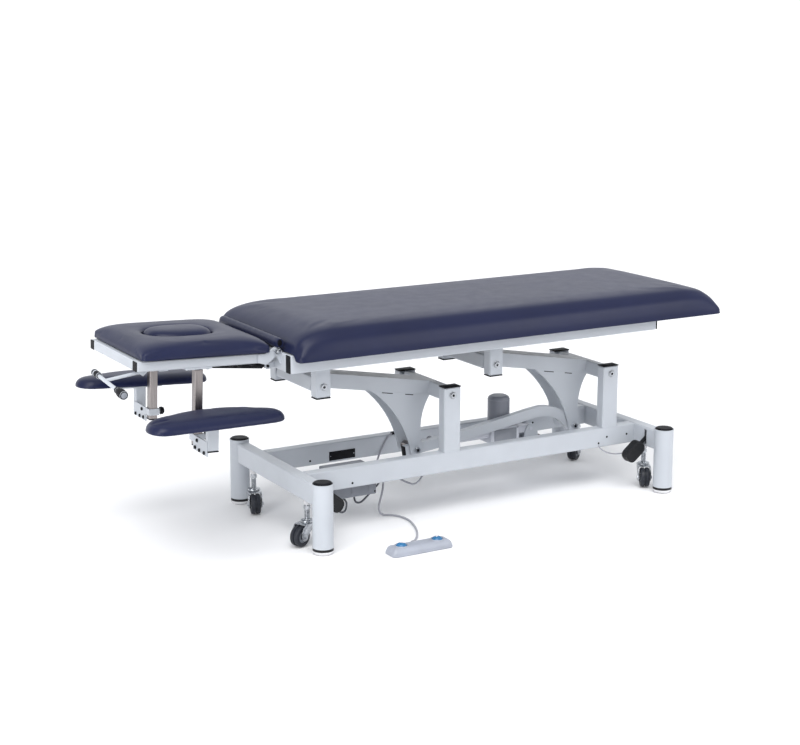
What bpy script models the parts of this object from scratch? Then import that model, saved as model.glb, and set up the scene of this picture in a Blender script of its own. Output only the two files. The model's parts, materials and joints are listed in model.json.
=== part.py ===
"""Electric hi-lo treatment couch: tilting head section, drop armrests, parallelogram lift, pedal castors.

Metres, +Z up. +X runs from the head end to the foot end, +Y to the far side, and the feet stand on z = 0.
Lengths along the couch are counted from the middle of the base, heights from the floor.
"""

import bpy
import bmesh
import math
from mathutils import Matrix, Vector

# ---------------------------------------------------------------- driving dimensions
GAP = 0.0003                      # running and assembly gap between touching pieces

POST_X = 0.637                    # half the spacing of the base posts along the couch
POST_Y = 0.294                    # half their spacing across it
POST_R = 0.03175
POST_TOP = 0.216
FOOT_H = 0.020
RAIL_BOTTOM = 0.143
RAIL_TOP = 0.209
END_RAIL_W = 0.040
RAIL_WALL = 0.004
SIDE_Y = 0.160                    # outer face of the long base rails and of the columns
SIDE_W = 0.038

LIFT_X = -0.1046                  # base pivot of the head-end arm
LIFT_Z = 0.392
PITCH = 0.6186                    # spacing of the two arms
ARM = 0.4643                      # arm length between pivots
SLOPE = math.radians(10.05)       # the arm's slope at rest, rising towards the head
CRANK = Vector((-0.0654, -0.196))  # lower pivot of the bell crank, from the base pivot
COLUMN_W = 0.060
COLUMN_TOP = 0.416
SHAFT_R = 0.008

FRAME_X0 = -0.721                 # head end of the top frame
FRAME_X1 = 0.618
FRAME_Y = 0.259
FRAME_W = 0.028
FRAME_BOTTOM = 0.548
DECK = 0.603                      # top of both frames, where the cushions rest
CAP_T = 0.003

CUSHION_X0 = -0.712
RIM_BOTTOM = 0.585                # underside of the cushion's padded rim, outside the frame
RIM_TOP = 0.646
CUSHION_X1 = 0.860
CUSHION_Y = 0.305
CUSHION_TOP = 0.680

HINGE_X = -0.732                  # axis of the head section
HINGE_Z = 0.610
HEAD_TILT = math.radians(2.3)     # the head end stands slightly raised
HEAD_X0 = -1.163
HEAD_X1 = -0.762
HEAD_Y = 0.188
HEAD_RAIL = 0.030
HEAD_TOP = 0.650

SPRING_Y = -0.138                 # gas spring, just inside the near head rail
SPRING_LOW = (-0.742, 0.556)      # its pin on the top frame
SPRING_HIGH = (-1.104, 0.584)     # its pin on the head frame
LEVER = (-1.128, 0.5625)          # pivot of the release handle
TEE = Vector((-1.238, -0.147, 0.548))  # where its stem meets the cross bar

DROP_X = -0.971                   # armrest posts, under the middle of the head rails
DROP_Y = 0.173
DROP_W = 0.025
PAD_Y = 0.280                     # the armrest's support tube

WHEEL_R = 0.032
AXLE_Z = 0.034
TRAIL = 0.034
STEM_Y = 0.190

SWITCH_X = -0.374                 # foot switch on the floor beside the base
SWITCH_Y = -0.410

CENTRE_X = 0.19655                # shifts the finished couch so that its box is centred on the origin
CENTRE_Y = 0.02595

NEAR_FAR = (("near", -1), ("far", 1))
ENDS = (("left", -1), ("right", 1))

# ---------------------------------------------------------------- scene
for old in list(bpy.data.objects):
    bpy.data.objects.remove(old, do_unlink=True)

couch = bpy.data.collections.new("treatment_couch")
operands = bpy.data.collections.new("boolean_operands")
bpy.context.scene.collection.children.link(couch)
bpy.context.scene.collection.children.link(operands)
operands.hide_render = True


# ---------------------------------------------------------------- materials
def material(name, colour, roughness, metallic=0.0):
    made = bpy.data.materials.new(name)
    made.use_nodes = True
    shader = made.node_tree.nodes["Principled BSDF"]
    shader.inputs["Base Color"].default_value = (*colour, 1.0)
    shader.inputs["Roughness"].default_value = roughness
    shader.inputs["Metallic"].default_value = metallic
    return made


ENAMEL = material("frame_enamel", (0.62, 0.65, 0.68), 0.38)
VINYL = material("navy_vinyl", (0.030, 0.036, 0.085), 0.42)
BLACK = material("black_plastic", (0.018, 0.018, 0.020), 0.45)
GREY = material("grey_plastic", (0.30, 0.32, 0.36), 0.5)
PALE = material("pale_plastic", (0.55, 0.58, 0.62), 0.42)
BLUE = material("blue_button", (0.02, 0.19, 0.42), 0.35)
STAINLESS = material("stainless_steel", (0.55, 0.52, 0.50), 0.25, 1.0)
ZINC = material("zinc_plate", (0.66, 0.68, 0.70), 0.30, 1.0)
TYRE = material("castor_tyre", (0.045, 0.048, 0.060), 0.65)
RUBBER = material("black_rubber", (0.020, 0.020, 0.022), 0.75)
CABLE = material("cable_jacket", (0.60, 0.62, 0.65), 0.5)


# ---------------------------------------------------------------- modelling helpers
def keep(obj, name, slot=None):
    """Name an object and put it in the couch's collection."""
    obj.name = name
    obj.data.name = name
    for home in list(obj.users_collection):
        home.objects.unlink(obj)
    couch.objects.link(obj)
    if slot is not None:
        obj.data.materials.clear()
        obj.data.materials.append(slot)
    return obj


def round_edges(obj, width, segments=2):
    edge = obj.modifiers.new("rounded_edges", "BEVEL")
    edge.width = width
    edge.segments = segments
    edge.limit_method = "ANGLE"
    edge.angle_limit = math.radians(40)
    return obj


def box(name, low, high, slot, edge=0.0, segments=2):
    """Rectangular block between two corners, with its edges rounded."""
    low = Vector(low)
    high = Vector(high)
    bpy.ops.mesh.primitive_cube_add(size=1.0, location=(low + high) / 2)
    obj = keep(bpy.context.object, name, slot)
    obj.scale = high - low
    bpy.ops.object.transform_apply(location=False, rotation=False, scale=True)
    if edge:
        round_edges(obj, edge, segments)
    return obj


def rod(name, start, end, radius, slot, sides=24, tip=None):
    """Round bar between two points, or a cone where a tip radius is given."""
    start = Vector(start)
    axis = Vector(end) - start
    mesh = bmesh.new()
    bmesh.ops.create_cone(mesh, cap_ends=True, segments=sides, radius1=radius,
                          radius2=radius if tip is None else tip, depth=axis.length)
    data = bpy.data.meshes.new(name)
    mesh.to_mesh(data)
    mesh.free()
    obj = keep(bpy.data.objects.new(name, data), name, slot)
    obj.location = start + axis / 2
    obj.rotation_euler = axis.to_track_quat("Z", "Y").to_euler()
    smooth_sides(obj)
    return obj


def smooth_sides(obj, angle=35):
    """Shade the round faces smooth and keep the flat ends crisp."""
    limit = math.radians(angle)
    mesh = bmesh.new()
    mesh.from_mesh(obj.data)
    for face in mesh.faces:
        face.smooth = True
    for seam in mesh.edges:
        seam.smooth = len(seam.link_faces) == 2 and seam.calc_face_angle(0.0) < limit
    mesh.to_mesh(obj.data)
    mesh.free()


def turned(name, profile, place, slot, axis="Z", steps=24):
    """Solid of revolution: the profile is (radius, height) from the top down its outside."""
    data = bpy.data.meshes.new(name)
    data.from_pydata([(r, 0.0, h) for r, h in profile],
                     [(i, i + 1) for i in range(len(profile) - 1)], [])
    obj = keep(bpy.data.objects.new(name, data), name, slot)
    spin = obj.modifiers.new("turned", "SCREW")
    spin.steps = steps
    spin.render_steps = steps
    spin.use_merge_vertices = True
    spin.merge_threshold = 0.00001
    spin.use_smooth_shade = True
    obj.location = place
    if axis == "Y":
        obj.rotation_euler.x = math.radians(90)
    if axis == "X":
        obj.rotation_euler.y = math.radians(90)
    return obj


def solid_from(curve, name, slot):
    """Turn a curve object into a closed mesh that keeps its place."""
    bpy.context.view_layer.update()
    shape = curve.evaluated_get(bpy.context.evaluated_depsgraph_get())
    data = bpy.data.meshes.new_from_object(shape)
    mesh = bmesh.new()
    mesh.from_mesh(data)
    bmesh.ops.remove_doubles(mesh, verts=mesh.verts, dist=0.00002)
    bmesh.ops.recalc_face_normals(mesh, faces=mesh.faces)
    mesh.to_mesh(data)
    mesh.free()
    obj = bpy.data.objects.new(name, data)
    obj.matrix_world = curve.matrix_world.copy()
    bpy.data.objects.remove(curve, do_unlink=True)
    return keep(obj, name, slot)


def flat(name, outline, low, high, slot, lying=False):
    """Plate of a flat outline: upright in X and Z between two Y, or lying in X and Y between two Z."""
    sheet = bpy.data.curves.new(name, "CURVE")
    sheet.dimensions = "2D"
    sheet.fill_mode = "BOTH"
    sheet.extrude = (high - low) / 2
    edge = sheet.splines.new("POLY")
    edge.points.add(len(outline) - 1)
    for point, (x, z) in zip(edge.points, outline):
        point.co = (x, z, 0.0, 1.0)
    edge.use_cyclic_u = True
    holder = bpy.data.objects.new(name, sheet)
    bpy.context.scene.collection.objects.link(holder)
    if lying:
        holder.location.z = (low + high) / 2
    else:
        holder.rotation_euler.x = math.radians(90)
        holder.location.y = (low + high) / 2
    obj = solid_from(holder, name, slot)
    smooth_sides(obj, 20)
    return obj


def tube_along(name, points, radius, slot):
    """Round wire or bar that follows a list of points."""
    line = bpy.data.curves.new(name, "CURVE")
    line.dimensions = "3D"
    line.bevel_depth = radius
    line.bevel_resolution = 2
    line.use_fill_caps = True
    path = line.splines.new("POLY")
    path.points.add(len(points) - 1)
    for point, co in zip(path.points, points):
        point.co = (*co, 1.0)
    holder = bpy.data.objects.new(name, line)
    bpy.context.scene.collection.objects.link(holder)
    obj = solid_from(holder, name, slot)
    smooth_sides(obj, 50)
    return obj


def operand(obj):
    """Move a Boolean operand out of the couch, into its own hidden collection."""
    couch.objects.unlink(obj)
    operands.objects.link(obj)
    obj.hide_render = True
    obj.display_type = "WIRE"


def combine(obj, operation, others):
    for other in others:
        step = obj.modifiers.new(operation.lower(), "BOOLEAN")
        step.operation = operation
        step.solver = "EXACT"
        step.object = other
        operand(other)
    return obj


def weld(obj, *others):
    return combine(obj, "UNION", others)


def cut(obj, *others):
    return combine(obj, "DIFFERENCE", others)


def arc(centre, radius, start, end, count):
    """Points of an arc in a plane, angles in degrees."""
    turn = [math.radians(start + (end - start) * i / (count - 1)) for i in range(count)]
    return [(centre[0] + radius * math.cos(a), centre[1] + radius * math.sin(a)) for a in turn]


def bow(start, through, end, count):
    """Points of the circular arc through three points."""
    ax, az = start
    bx, bz = through
    cx, cz = end
    d = 2 * (ax * (bz - cz) + bx * (cz - az) + cx * (az - bz))
    ux = ((ax**2 + az**2) * (bz - cz) + (bx**2 + bz**2) * (cz - az) + (cx**2 + cz**2) * (az - bz)) / d
    uz = ((ax**2 + az**2) * (cx - bx) + (bx**2 + bz**2) * (ax - cx) + (cx**2 + cz**2) * (bx - ax)) / d
    radius = math.hypot(ax - ux, az - uz)
    first = math.degrees(math.atan2(az - uz, ax - ux))
    last = math.degrees(math.atan2(cz - uz, cx - ux))
    sweep = (last - first + 180) % 360 - 180
    return arc((ux, uz), radius, first, first + sweep, count)


def ribbon(centres, width):
    """Outline of a band of constant width along a centre line."""
    left = []
    right = []
    for i, (x, z) in enumerate(centres):
        ahead = centres[min(i + 1, len(centres) - 1)]
        behind = centres[max(i - 1, 0)]
        along = Vector((ahead[0] - behind[0], ahead[1] - behind[1])).normalized()
        left.append((x - along.y * width / 2, z + along.x * width / 2))
        right.append((x + along.y * width / 2, z - along.x * width / 2))
    return left + right[::-1]


def rounded_box(name, low, high, slot, edge, segments=3):
    """Soft block: every edge rounded, shaded smooth."""
    obj = box(name, low, high, slot, edge, segments)
    for face in obj.data.polygons:
        face.use_smooth = True
    return obj


# ---------------------------------------------------------------- base
def base_frame():
    """Four posts, two hollow end rails, two long rails, four columns and the actuator's anchor, welded."""
    posts = []
    for x in (-POST_X, POST_X):
        for y in (-POST_Y, POST_Y):
            posts.append(rod("post", (x, y, FOOT_H + GAP), (x, y, POST_TOP), POST_R, ENAMEL, 32))
    pieces = posts[1:]
    for x in (-POST_X, POST_X):
        half = END_RAIL_W / 2
        pieces.append(box("end_rail", (x - half, -POST_Y, RAIL_BOTTOM), (x + half, POST_Y, RAIL_TOP),
                          ENAMEL, 0.004, 1))
    reach = POST_X - END_RAIL_W / 2 + 0.001
    for side in (-1, 1):
        inner = side * (SIDE_Y - SIDE_W)
        low, high = sorted((side * SIDE_Y, inner))
        pieces.append(box("long_rail", (-reach, low, RAIL_BOTTOM + 0.0005), (reach, high, RAIL_TOP - 0.0005),
                          ENAMEL, 0.003, 1))
        for x in (LIFT_X, LIFT_X + PITCH):
            half = COLUMN_W / 2
            pieces.append(box("column", (x - half, low + 0.0006, RAIL_TOP - 0.012),
                              (x + half, high - 0.0006, COLUMN_TOP), ENAMEL, 0.003, 1))
    bed = SIDE_Y - SIDE_W + 0.001
    pieces.append(box("actuator_bed", (0.262, -bed, 0.1445), (0.352, bed, 0.158), ENAMEL))
    pieces.append(box("box_plate", (-0.478, -0.0915, 0.1460), (-0.354, -0.0884, 0.1700), ENAMEL))
    for x in (-0.462, -0.370):
        pieces.append(box("box_bracket", (x - 0.009, -bed, 0.1480), (x + 0.009, -0.0890, 0.1680), ENAMEL))
    for y in (0.015 - 0.0185, 0.015 + 0.0185):
        pieces.append(flat("anchor_cheek", [(0.272, 0.152), (0.332, 0.152), (0.326, 0.190)]
                           + arc((0.300, 0.197), 0.017, 10, 170, 7) + [(0.278, 0.190)],
                           y - 0.003, y + 0.003, ENAMEL))
    weld(posts[0], *pieces)

    cutters = []
    for end in (-1, 1):
        x = end * POST_X
        half = END_RAIL_W / 2 - RAIL_WALL
        cutters.append(box("rail_hollow", (x - half, -0.255, RAIL_BOTTOM + RAIL_WALL),
                           (x + half, 0.255, RAIL_TOP - RAIL_WALL), ENAMEL))
        inner = end * (POST_X - END_RAIL_W / 2)
        low, high = sorted((inner - end * 0.003, inner + end * 0.012))
        cutters.append(box("pedal_slot", (low, -0.2265, 0.150), (high, -0.2135, 0.200), ENAMEL))
        for y in (-STEM_Y, STEM_Y):
            cutters.append(rod("stem_hole", (x, y, RAIL_BOTTOM - 0.01), (x, y, RAIL_BOTTOM + 0.012),
                               0.0095, ENAMEL, 20))
    for x in (LIFT_X, LIFT_X + PITCH):
        cutters.append(rod("shaft_hole", (x, -0.2, LIFT_Z), (x, 0.2, LIFT_Z), SHAFT_R + GAP, ENAMEL, 20))
    cutters.append(rod("anchor_hole", (0.300, -0.02, 0.197), (0.300, 0.05, 0.197), 0.006 + GAP, ENAMEL, 16))
    cut(posts[0], *cutters)
    return keep(posts[0], "base_frame", ENAMEL)


def post_fittings():
    """Plastic top cap and levelling foot of each base post."""
    for end, sx in ENDS:
        for side, sy in NEAR_FAR:
            x = sx * POST_X
            y = sy * POST_Y
            turned(f"post_cap_{end}_{side}",
                   [(0.0, 0.0062), (0.022, 0.0062), (0.0265, 0.0050), (0.0300, 0.0018), (0.0305, 0.0),
                    (0.0, 0.0)], (x, y, POST_TOP + GAP), BLACK)
            turned(f"foot_{end}_{side}",
                   [(0.0, FOOT_H), (POST_R, FOOT_H), (POST_R, 0.0120), (0.0300, 0.0050), (0.0240, 0.0),
                    (0.0, 0.0)], (x, y, 0.0), RUBBER)


# ---------------------------------------------------------------- castors and pedals
def castors():
    """At each end a bar inside the rail carries two swivel castors; the pedal lowers the bar."""
    heading = {("left", "near"): 203, ("left", "far"): 252, ("right", "near"): 240, ("right", "far"): 214}
    for end, sx in ENDS:
        x = sx * POST_X
        bar = box(f"castor_carriage_{end}", (x - 0.012, -0.199, 0.172), (x + 0.012, 0.199, 0.186), ZINC)
        stems = [rod("stem", (x, sy * STEM_Y, 0.0783), (x, sy * STEM_Y, 0.180), 0.0075, ZINC, 20)
                 for sy in (-1, 1)]
        collars = [rod("nut", (x, sy * STEM_Y, 0.112), (x, sy * STEM_Y, 0.122), 0.0105, ZINC, 6)
                   for sy in (-1, 1)]
        weld(bar, *stems, *collars)
        for side, sy in NEAR_FAR:
            castor(f"{end}_{side}", Vector((x, sy * STEM_Y, 0.0)), math.radians(heading[end, side]))


def castor(tag, place, heading):
    """Swivel fork with its trailing wheel; the fork's origin is on the stem's axis."""
    swivel = bpy.data.objects.new(f"swivel_{tag}", None)
    couch.objects.link(swivel)
    swivel.location = place
    swivel.rotation_euler.z = heading

    fork = rod(f"castor_fork_{tag}", (0, 0, 0.0700), (0, 0, 0.0780), 0.019, ZINC, 24)
    crown = box("crown", (-0.018, -0.0215, 0.0675), (0.032, 0.0215, 0.0715), ZINC)
    legs = []
    for side in (-1, 1):
        inner = side * 0.0185
        low, high = sorted((inner, side * 0.0215))
        outline = [(-0.015, 0.0700), (0.031, 0.0700), (TRAIL + 0.0130, AXLE_Z + 0.006)]
        outline += arc((TRAIL, AXLE_Z), 0.0130, 0, -180, 9) + [(TRAIL - 0.0130, AXLE_Z + 0.004)]
        legs.append(flat("leg", outline, low, high, ZINC))
    axle = rod("axle", (TRAIL, -0.0240, AXLE_Z), (TRAIL, 0.0240, AXLE_Z), 0.004, ZINC, 12)
    weld(fork, crown, *legs, axle)
    half = 0.0155
    wheel = turned(f"castor_wheel_{tag}",
                   [(0.0043, half), (0.0245, half), (0.0300, half - 0.0008), (WHEEL_R, half - 0.004),
                    (WHEEL_R, 0.004 - half), (0.0300, 0.0008 - half), (0.0245, -half), (0.0043, -half),
                    (0.0043, half)],
                   (TRAIL, 0, AXLE_Z), TYRE, axis="Y")
    for piece in (fork, crown, *legs, axle, wheel):
        piece.parent = swivel


def pedals():
    """Foot pedal of each end: a flat arm through the rail's slot and a rubber pad."""
    for end, sx in ENDS:
        hub_x = sx * POST_X
        hub_z = 0.186
        along = Vector((-sx * 0.78, -0.626)).normalized()
        across = Vector((along.y, -along.x))
        y = -0.220
        hub = rod(f"pedal_{end}", (hub_x, y - 0.0055, hub_z), (hub_x, y + 0.0055, hub_z), 0.009, RUBBER, 20)

        def spot(out, side):
            return (hub_x + along.x * out + across.x * side, hub_z + along.y * out + across.y * side)

        arm = flat("arm", [spot(0, 0.006), spot(0.064, 0.006), spot(0.064, -0.006), spot(0, -0.006)],
                   y - 0.003, y + 0.003, RUBBER)
        pad = flat("pad", pad_outline(spot), y - 0.015, y + 0.015, RUBBER)
        round_edges(pad, 0.004, 2)
        weld(hub, arm, pad)


def pad_outline(spot):
    """Stadium-like outline of the pedal pad, from 48 to 126 mm out along its arm."""
    shape = []
    for out, side, start in ((0.107, 0.004, 90), (0.107, -0.004, 0), (0.067, -0.004, -90),
                             (0.067, 0.004, -180)):
        for step in range(5):
            turn = math.radians(start - 90 * step / 4)
            shape.append(spot(out + 0.019 * math.cos(turn), side + 0.019 * math.sin(turn)))
    return shape


# ---------------------------------------------------------------- lift
def arm_point(out, up, foot):
    """Point of a lifting arm: out along the arm from its base pivot, up across it."""
    return (foot - out * math.cos(SLOPE) + up * math.sin(SLOPE), LIFT_Z + out * math.sin(SLOPE)
            + up * math.cos(SLOPE))


def lifting_arm(end, foot):
    """Box beam with a cross tube at each end and the two bell-crank plates under its base end."""
    beam = flat(f"arm_{end}", [arm_point(0.012, 0.0225, foot), arm_point(ARM - 0.012, 0.0225, foot),
                               arm_point(ARM - 0.012, -0.0225, foot), arm_point(0.012, -0.0225, foot)],
                -0.045, 0.045, ENAMEL)
    pieces = []
    for out in (0.0, ARM):
        square = [arm_point(out + a, b, foot) for a, b in ((-0.022, -0.022), (-0.022, 0.022),
                                                           (0.022, 0.022), (0.022, -0.022))]
        pieces.append(round_edges(flat("cross_tube", square, -0.117, 0.117, ENAMEL), 0.004))
    crank = (foot + CRANK.x, LIFT_Z + CRANK.y)
    front = bow((foot - 0.236, LIFT_Z + 0.022), (foot - 0.1375, LIFT_Z - 0.076),
                (crank[0] - 0.0215, crank[1] + 0.010), 10)
    toe = arc(crank, 0.021, 180, 360, 9)
    heel = bow((crank[0] + 0.020, crank[1] + 0.030), (foot - 0.046, LIFT_Z - 0.092),
               (foot - 0.012, LIFT_Z - 0.015), 8)
    outline = front + toe + heel + [arm_point(0.014, 0.0, foot), arm_point(0.215, 0.0, foot)]
    for side in (-1, 1):
        low, high = sorted((side * 0.0385, side * 0.0435))
        pieces.append(flat("crank_plate", outline, low, high, ENAMEL))
    weld(beam, *pieces)
    top = arm_point(ARM, 0.0, foot)
    cut(beam,
        rod("base_bore", (foot, -0.13, LIFT_Z), (foot, 0.13, LIFT_Z), SHAFT_R + GAP, ENAMEL, 20),
        rod("top_bore", (top[0], -0.13, top[1]), (top[0], 0.13, top[1]), SHAFT_R + GAP, ENAMEL, 20),
        rod("crank_bore", (crank[0], -0.06, crank[1]), (crank[0], 0.06, crank[1]), 0.0072 + GAP,
            ENAMEL, 16))
    return keep(beam, f"arm_{end}", ENAMEL)


def pivot_shaft(name, x, z, head_y):
    """Shaft across both sides with a domed bolt head on each end."""
    shaft = rod(name, (x, -head_y + 0.002, z), (x, head_y - 0.002, z), SHAFT_R, ZINC, 20)
    heads = []
    for side in (-1, 1):
        heads.append(rod("head", (x, side * (head_y + GAP), z), (x, side * (head_y + 0.0045), z),
                         0.0105, ZINC, 20, tip=0.0085))
        heads.append(rod("neck", (x, side * (head_y - 0.004), z), (x, side * (head_y + 0.002), z),
                         SHAFT_R - 0.0005, ZINC, 16))
    return weld(shaft, *heads)


def lift():
    for end, foot in (("left", LIFT_X), ("right", LIFT_X + PITCH)):
        lifting_arm(end, foot)
        top = arm_point(ARM, 0.0, foot)
        pivot_shaft(f"base_shaft_{end}", foot, LIFT_Z, SIDE_Y)
        pivot_shaft(f"top_shaft_{end}", top[0], top[1], 0.162)
    tie_link()
    actuator()


def tie_link():
    """Bent flat tube that joins the two bell cranks, with its pins through their plates."""
    x0 = LIFT_X + CRANK.x
    z0 = LIFT_Z + CRANK.y
    x1 = x0 + PITCH
    centre = [(x0 - 0.034, z0 - 0.005), (x0, z0 - 0.001), (x0 + 0.210, z0 + 0.023)]
    centre += [(x1 - 0.170, z0 + 0.0595)]
    centre += bow((x1 - 0.125, z0 + 0.0645), (x1 - 0.052, z0 + 0.042), (x1 + 0.004, z0 - 0.014), 8)
    link = flat("tie_link", ribbon(centre, 0.034), -0.036, -0.014, ENAMEL)
    pins = []
    for x in (x0, x1):
        pins.append(rod("pin", (x, -0.0435, z0), (x, -0.012, z0), 0.0072, ZINC, 16))
        pins.append(rod("pin_head", (x, -0.0500, z0), (x, -0.0438, z0), 0.0105, ZINC, 16))
        pins.append(rod("pin_neck", (x, -0.0470, z0), (x, -0.0420, z0), 0.0065, ZINC, 16))
    return weld(link, *pins)


def actuator():
    """Linear actuator: upright motor on a gearbox, outer tube and push rod, along the couch."""
    y = 0.015
    z = 0.197
    crank_x = LIFT_X + CRANK.x
    body = box("actuator_housing", (0.138, -0.011, 0.163), (0.250, 0.064, 0.2170), GREY, 0.003)
    motor = turned("motor", [(0.0, 0.110), (0.026, 0.109), (0.0335, 0.105), (0.0370, 0.097), (0.0370, 0.0),
                             (0.0, 0.0)], (0.190, y + 0.0115, 0.210), GREY, steps=28)
    barrel = rod("barrel", (-0.080, y, z), (0.140, y, z), 0.0165, GREY, 24)
    collar = rod("collar", (-0.086, y, z), (-0.070, y, z), 0.019, GREY, 24)
    tail = box("tail", (0.248, y - 0.0150, z - 0.012), (0.302, y + 0.0150, z + 0.012), GREY)
    eye = rod("tail_eye", (0.301, y - 0.0145, z), (0.301, y + 0.0145, z), 0.0135, GREY, 20)
    pin = rod("tail_pin", (0.300, y - 0.0230, z), (0.300, y + 0.0230, z), 0.0060, ZINC, 16)
    weld(body, motor, barrel, collar, tail, eye, pin)
    cut(body, rod("bore", (-0.090, y, z), (0.122, y, z), 0.0110 + GAP, GREY, 24))

    push = rod("actuator_rod", (crank_x + 0.006, y, z), (0.055, y, z), 0.0110, STAINLESS, 24)
    fork = rod("rod_eye", (crank_x, y - 0.014, z - 0.001), (crank_x, y + 0.014, z - 0.001), 0.0155,
               STAINLESS, 20)
    weld(push, fork)


def control_box():
    """Moulded box for the electronics, carried on a plate inside the near long rail."""
    shell = box("control_box", (-0.492, -0.088, 0.086), (-0.340, 0.016, 0.174), GREY, 0.005)
    gland = rod("gland", (-0.345, -0.045, 0.150), (-0.331, -0.045, 0.150), 0.0065, GREY, 16, tip=0.0048)
    return weld(shell, gland)


# ---------------------------------------------------------------- top frame
def table_frame():
    """Two long rails, four cross tubes, four hanging brackets and the lugs of the head hinge."""
    rails = []
    for side in (-1, 1):
        low, high = sorted((side * FRAME_Y, side * (FRAME_Y - FRAME_W)))
        rails.append(box("rail", (FRAME_X0 + CAP_T + GAP, low, FRAME_BOTTOM), (FRAME_X1, high, DECK),
                         ENAMEL, 0.003, 1))
    pieces = rails[1:]
    reach = FRAME_Y - FRAME_W + 0.001
    hangers = [arm_point(ARM, 0.0, LIFT_X)[0] + shift for shift in (0.0, PITCH)]
    spans = [(FRAME_X0 + 0.0005, FRAME_X0 + 0.030), (FRAME_X1 - 0.031, FRAME_X1 - 0.0006)]
    spans += [(x - 0.030, x + 0.030) for x in hangers]
    for start, end in spans:
        pieces.append(box("cross_tube", (start, -reach, FRAME_BOTTOM + 0.001), (end, reach, DECK - 0.0008),
                          ENAMEL, 0.003, 1))
    bolt_z = arm_point(ARM, 0.0, LIFT_X)[1]
    for x in hangers:
        for side in (-1, 1):
            low, high = sorted((side * 0.1235, side * 0.1615))
            pieces.append(box("hanger", (x - 0.0245, low, bolt_z - 0.034), (x + 0.0245, high,
                                                                            FRAME_BOTTOM + 0.004),
                              ENAMEL, 0.003, 1))
    for side in (-1, 1):
        low, high = sorted((side * 0.1965, side * 0.2025))
        outline = [(FRAME_X0 + 0.012, 0.556), (FRAME_X0 - 0.003, 0.572)]
        outline += arc((HINGE_X, HINGE_Z), 0.0105, 190, 20, 9)
        outline += [(FRAME_X0 + 0.004, 0.6035), (FRAME_X0 + 0.012, 0.6025)]
        pieces.append(flat("hinge_lug", outline, low, high, ENAMEL))
    for y in (SPRING_Y - 0.0145, SPRING_Y + 0.0145):
        pieces.append(flat("spring_lug", [(FRAME_X0 + 0.006, 0.551), (FRAME_X0 + 0.006, 0.572)]
                           + arc(SPRING_LOW, 0.0095, 60, 300, 9),
                           y - 0.002, y + 0.002, ENAMEL))
    weld(rails[0], *pieces)
    cutters = [rod("bore", (x, -0.2, bolt_z), (x, 0.2, bolt_z), SHAFT_R + GAP, ENAMEL, 20) for x in hangers]
    cutters.append(rod("hinge_bore", (HINGE_X, -0.21, HINGE_Z), (HINGE_X, 0.21, HINGE_Z), 0.0055 + GAP,
                       ENAMEL, 16))
    cutters.append(rod("spring_bore", (SPRING_LOW[0], SPRING_Y - 0.022, SPRING_LOW[1]),
                       (SPRING_LOW[0], SPRING_Y + 0.022, SPRING_LOW[1]), 0.0045 + GAP, ENAMEL, 12))
    cut(rails[0], *cutters)
    keep(rails[0], "table_frame", ENAMEL)
    for side, sy in NEAR_FAR:
        low, high = sorted((sy * (FRAME_Y - 0.001), sy * (FRAME_Y - FRAME_W + 0.001)))
        box(f"frame_cap_{side}", (FRAME_X0, low, FRAME_BOTTOM + 0.001), (FRAME_X0 + CAP_T, high,
                                                                        DECK - 0.001), BLACK, 0.001, 1)


def cushions():
    """Long body cushion and the narrow pad that closes the gap over the hinge."""
    cushion = rounded_box("body_cushion", (CUSHION_X0, -CUSHION_Y, DECK + GAP),
                          (CUSHION_X1, CUSHION_Y, CUSHION_TOP), VINYL, 0.030, 4)
    rims = [rounded_box("foot_rim", (CUSHION_X1 - 0.040, -CUSHION_Y, RIM_BOTTOM),
                        (CUSHION_X1, CUSHION_Y, RIM_TOP), VINYL, 0.008, 2)]
    for side in (-1, 1):
        low, high = sorted((side * CUSHION_Y, side * (CUSHION_Y - 0.041)))
        rims.append(rounded_box("side_rim", (CUSHION_X0, low, RIM_BOTTOM), (CUSHION_X1, high, RIM_TOP), VINYL,
                                0.008, 2))
    weld(cushion, *rims)
    rounded_box("gap_pad", (-0.7385, -0.2050, 0.6215), (-0.7135, 0.2050, 0.6480), VINYL, 0.008, 2)


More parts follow.
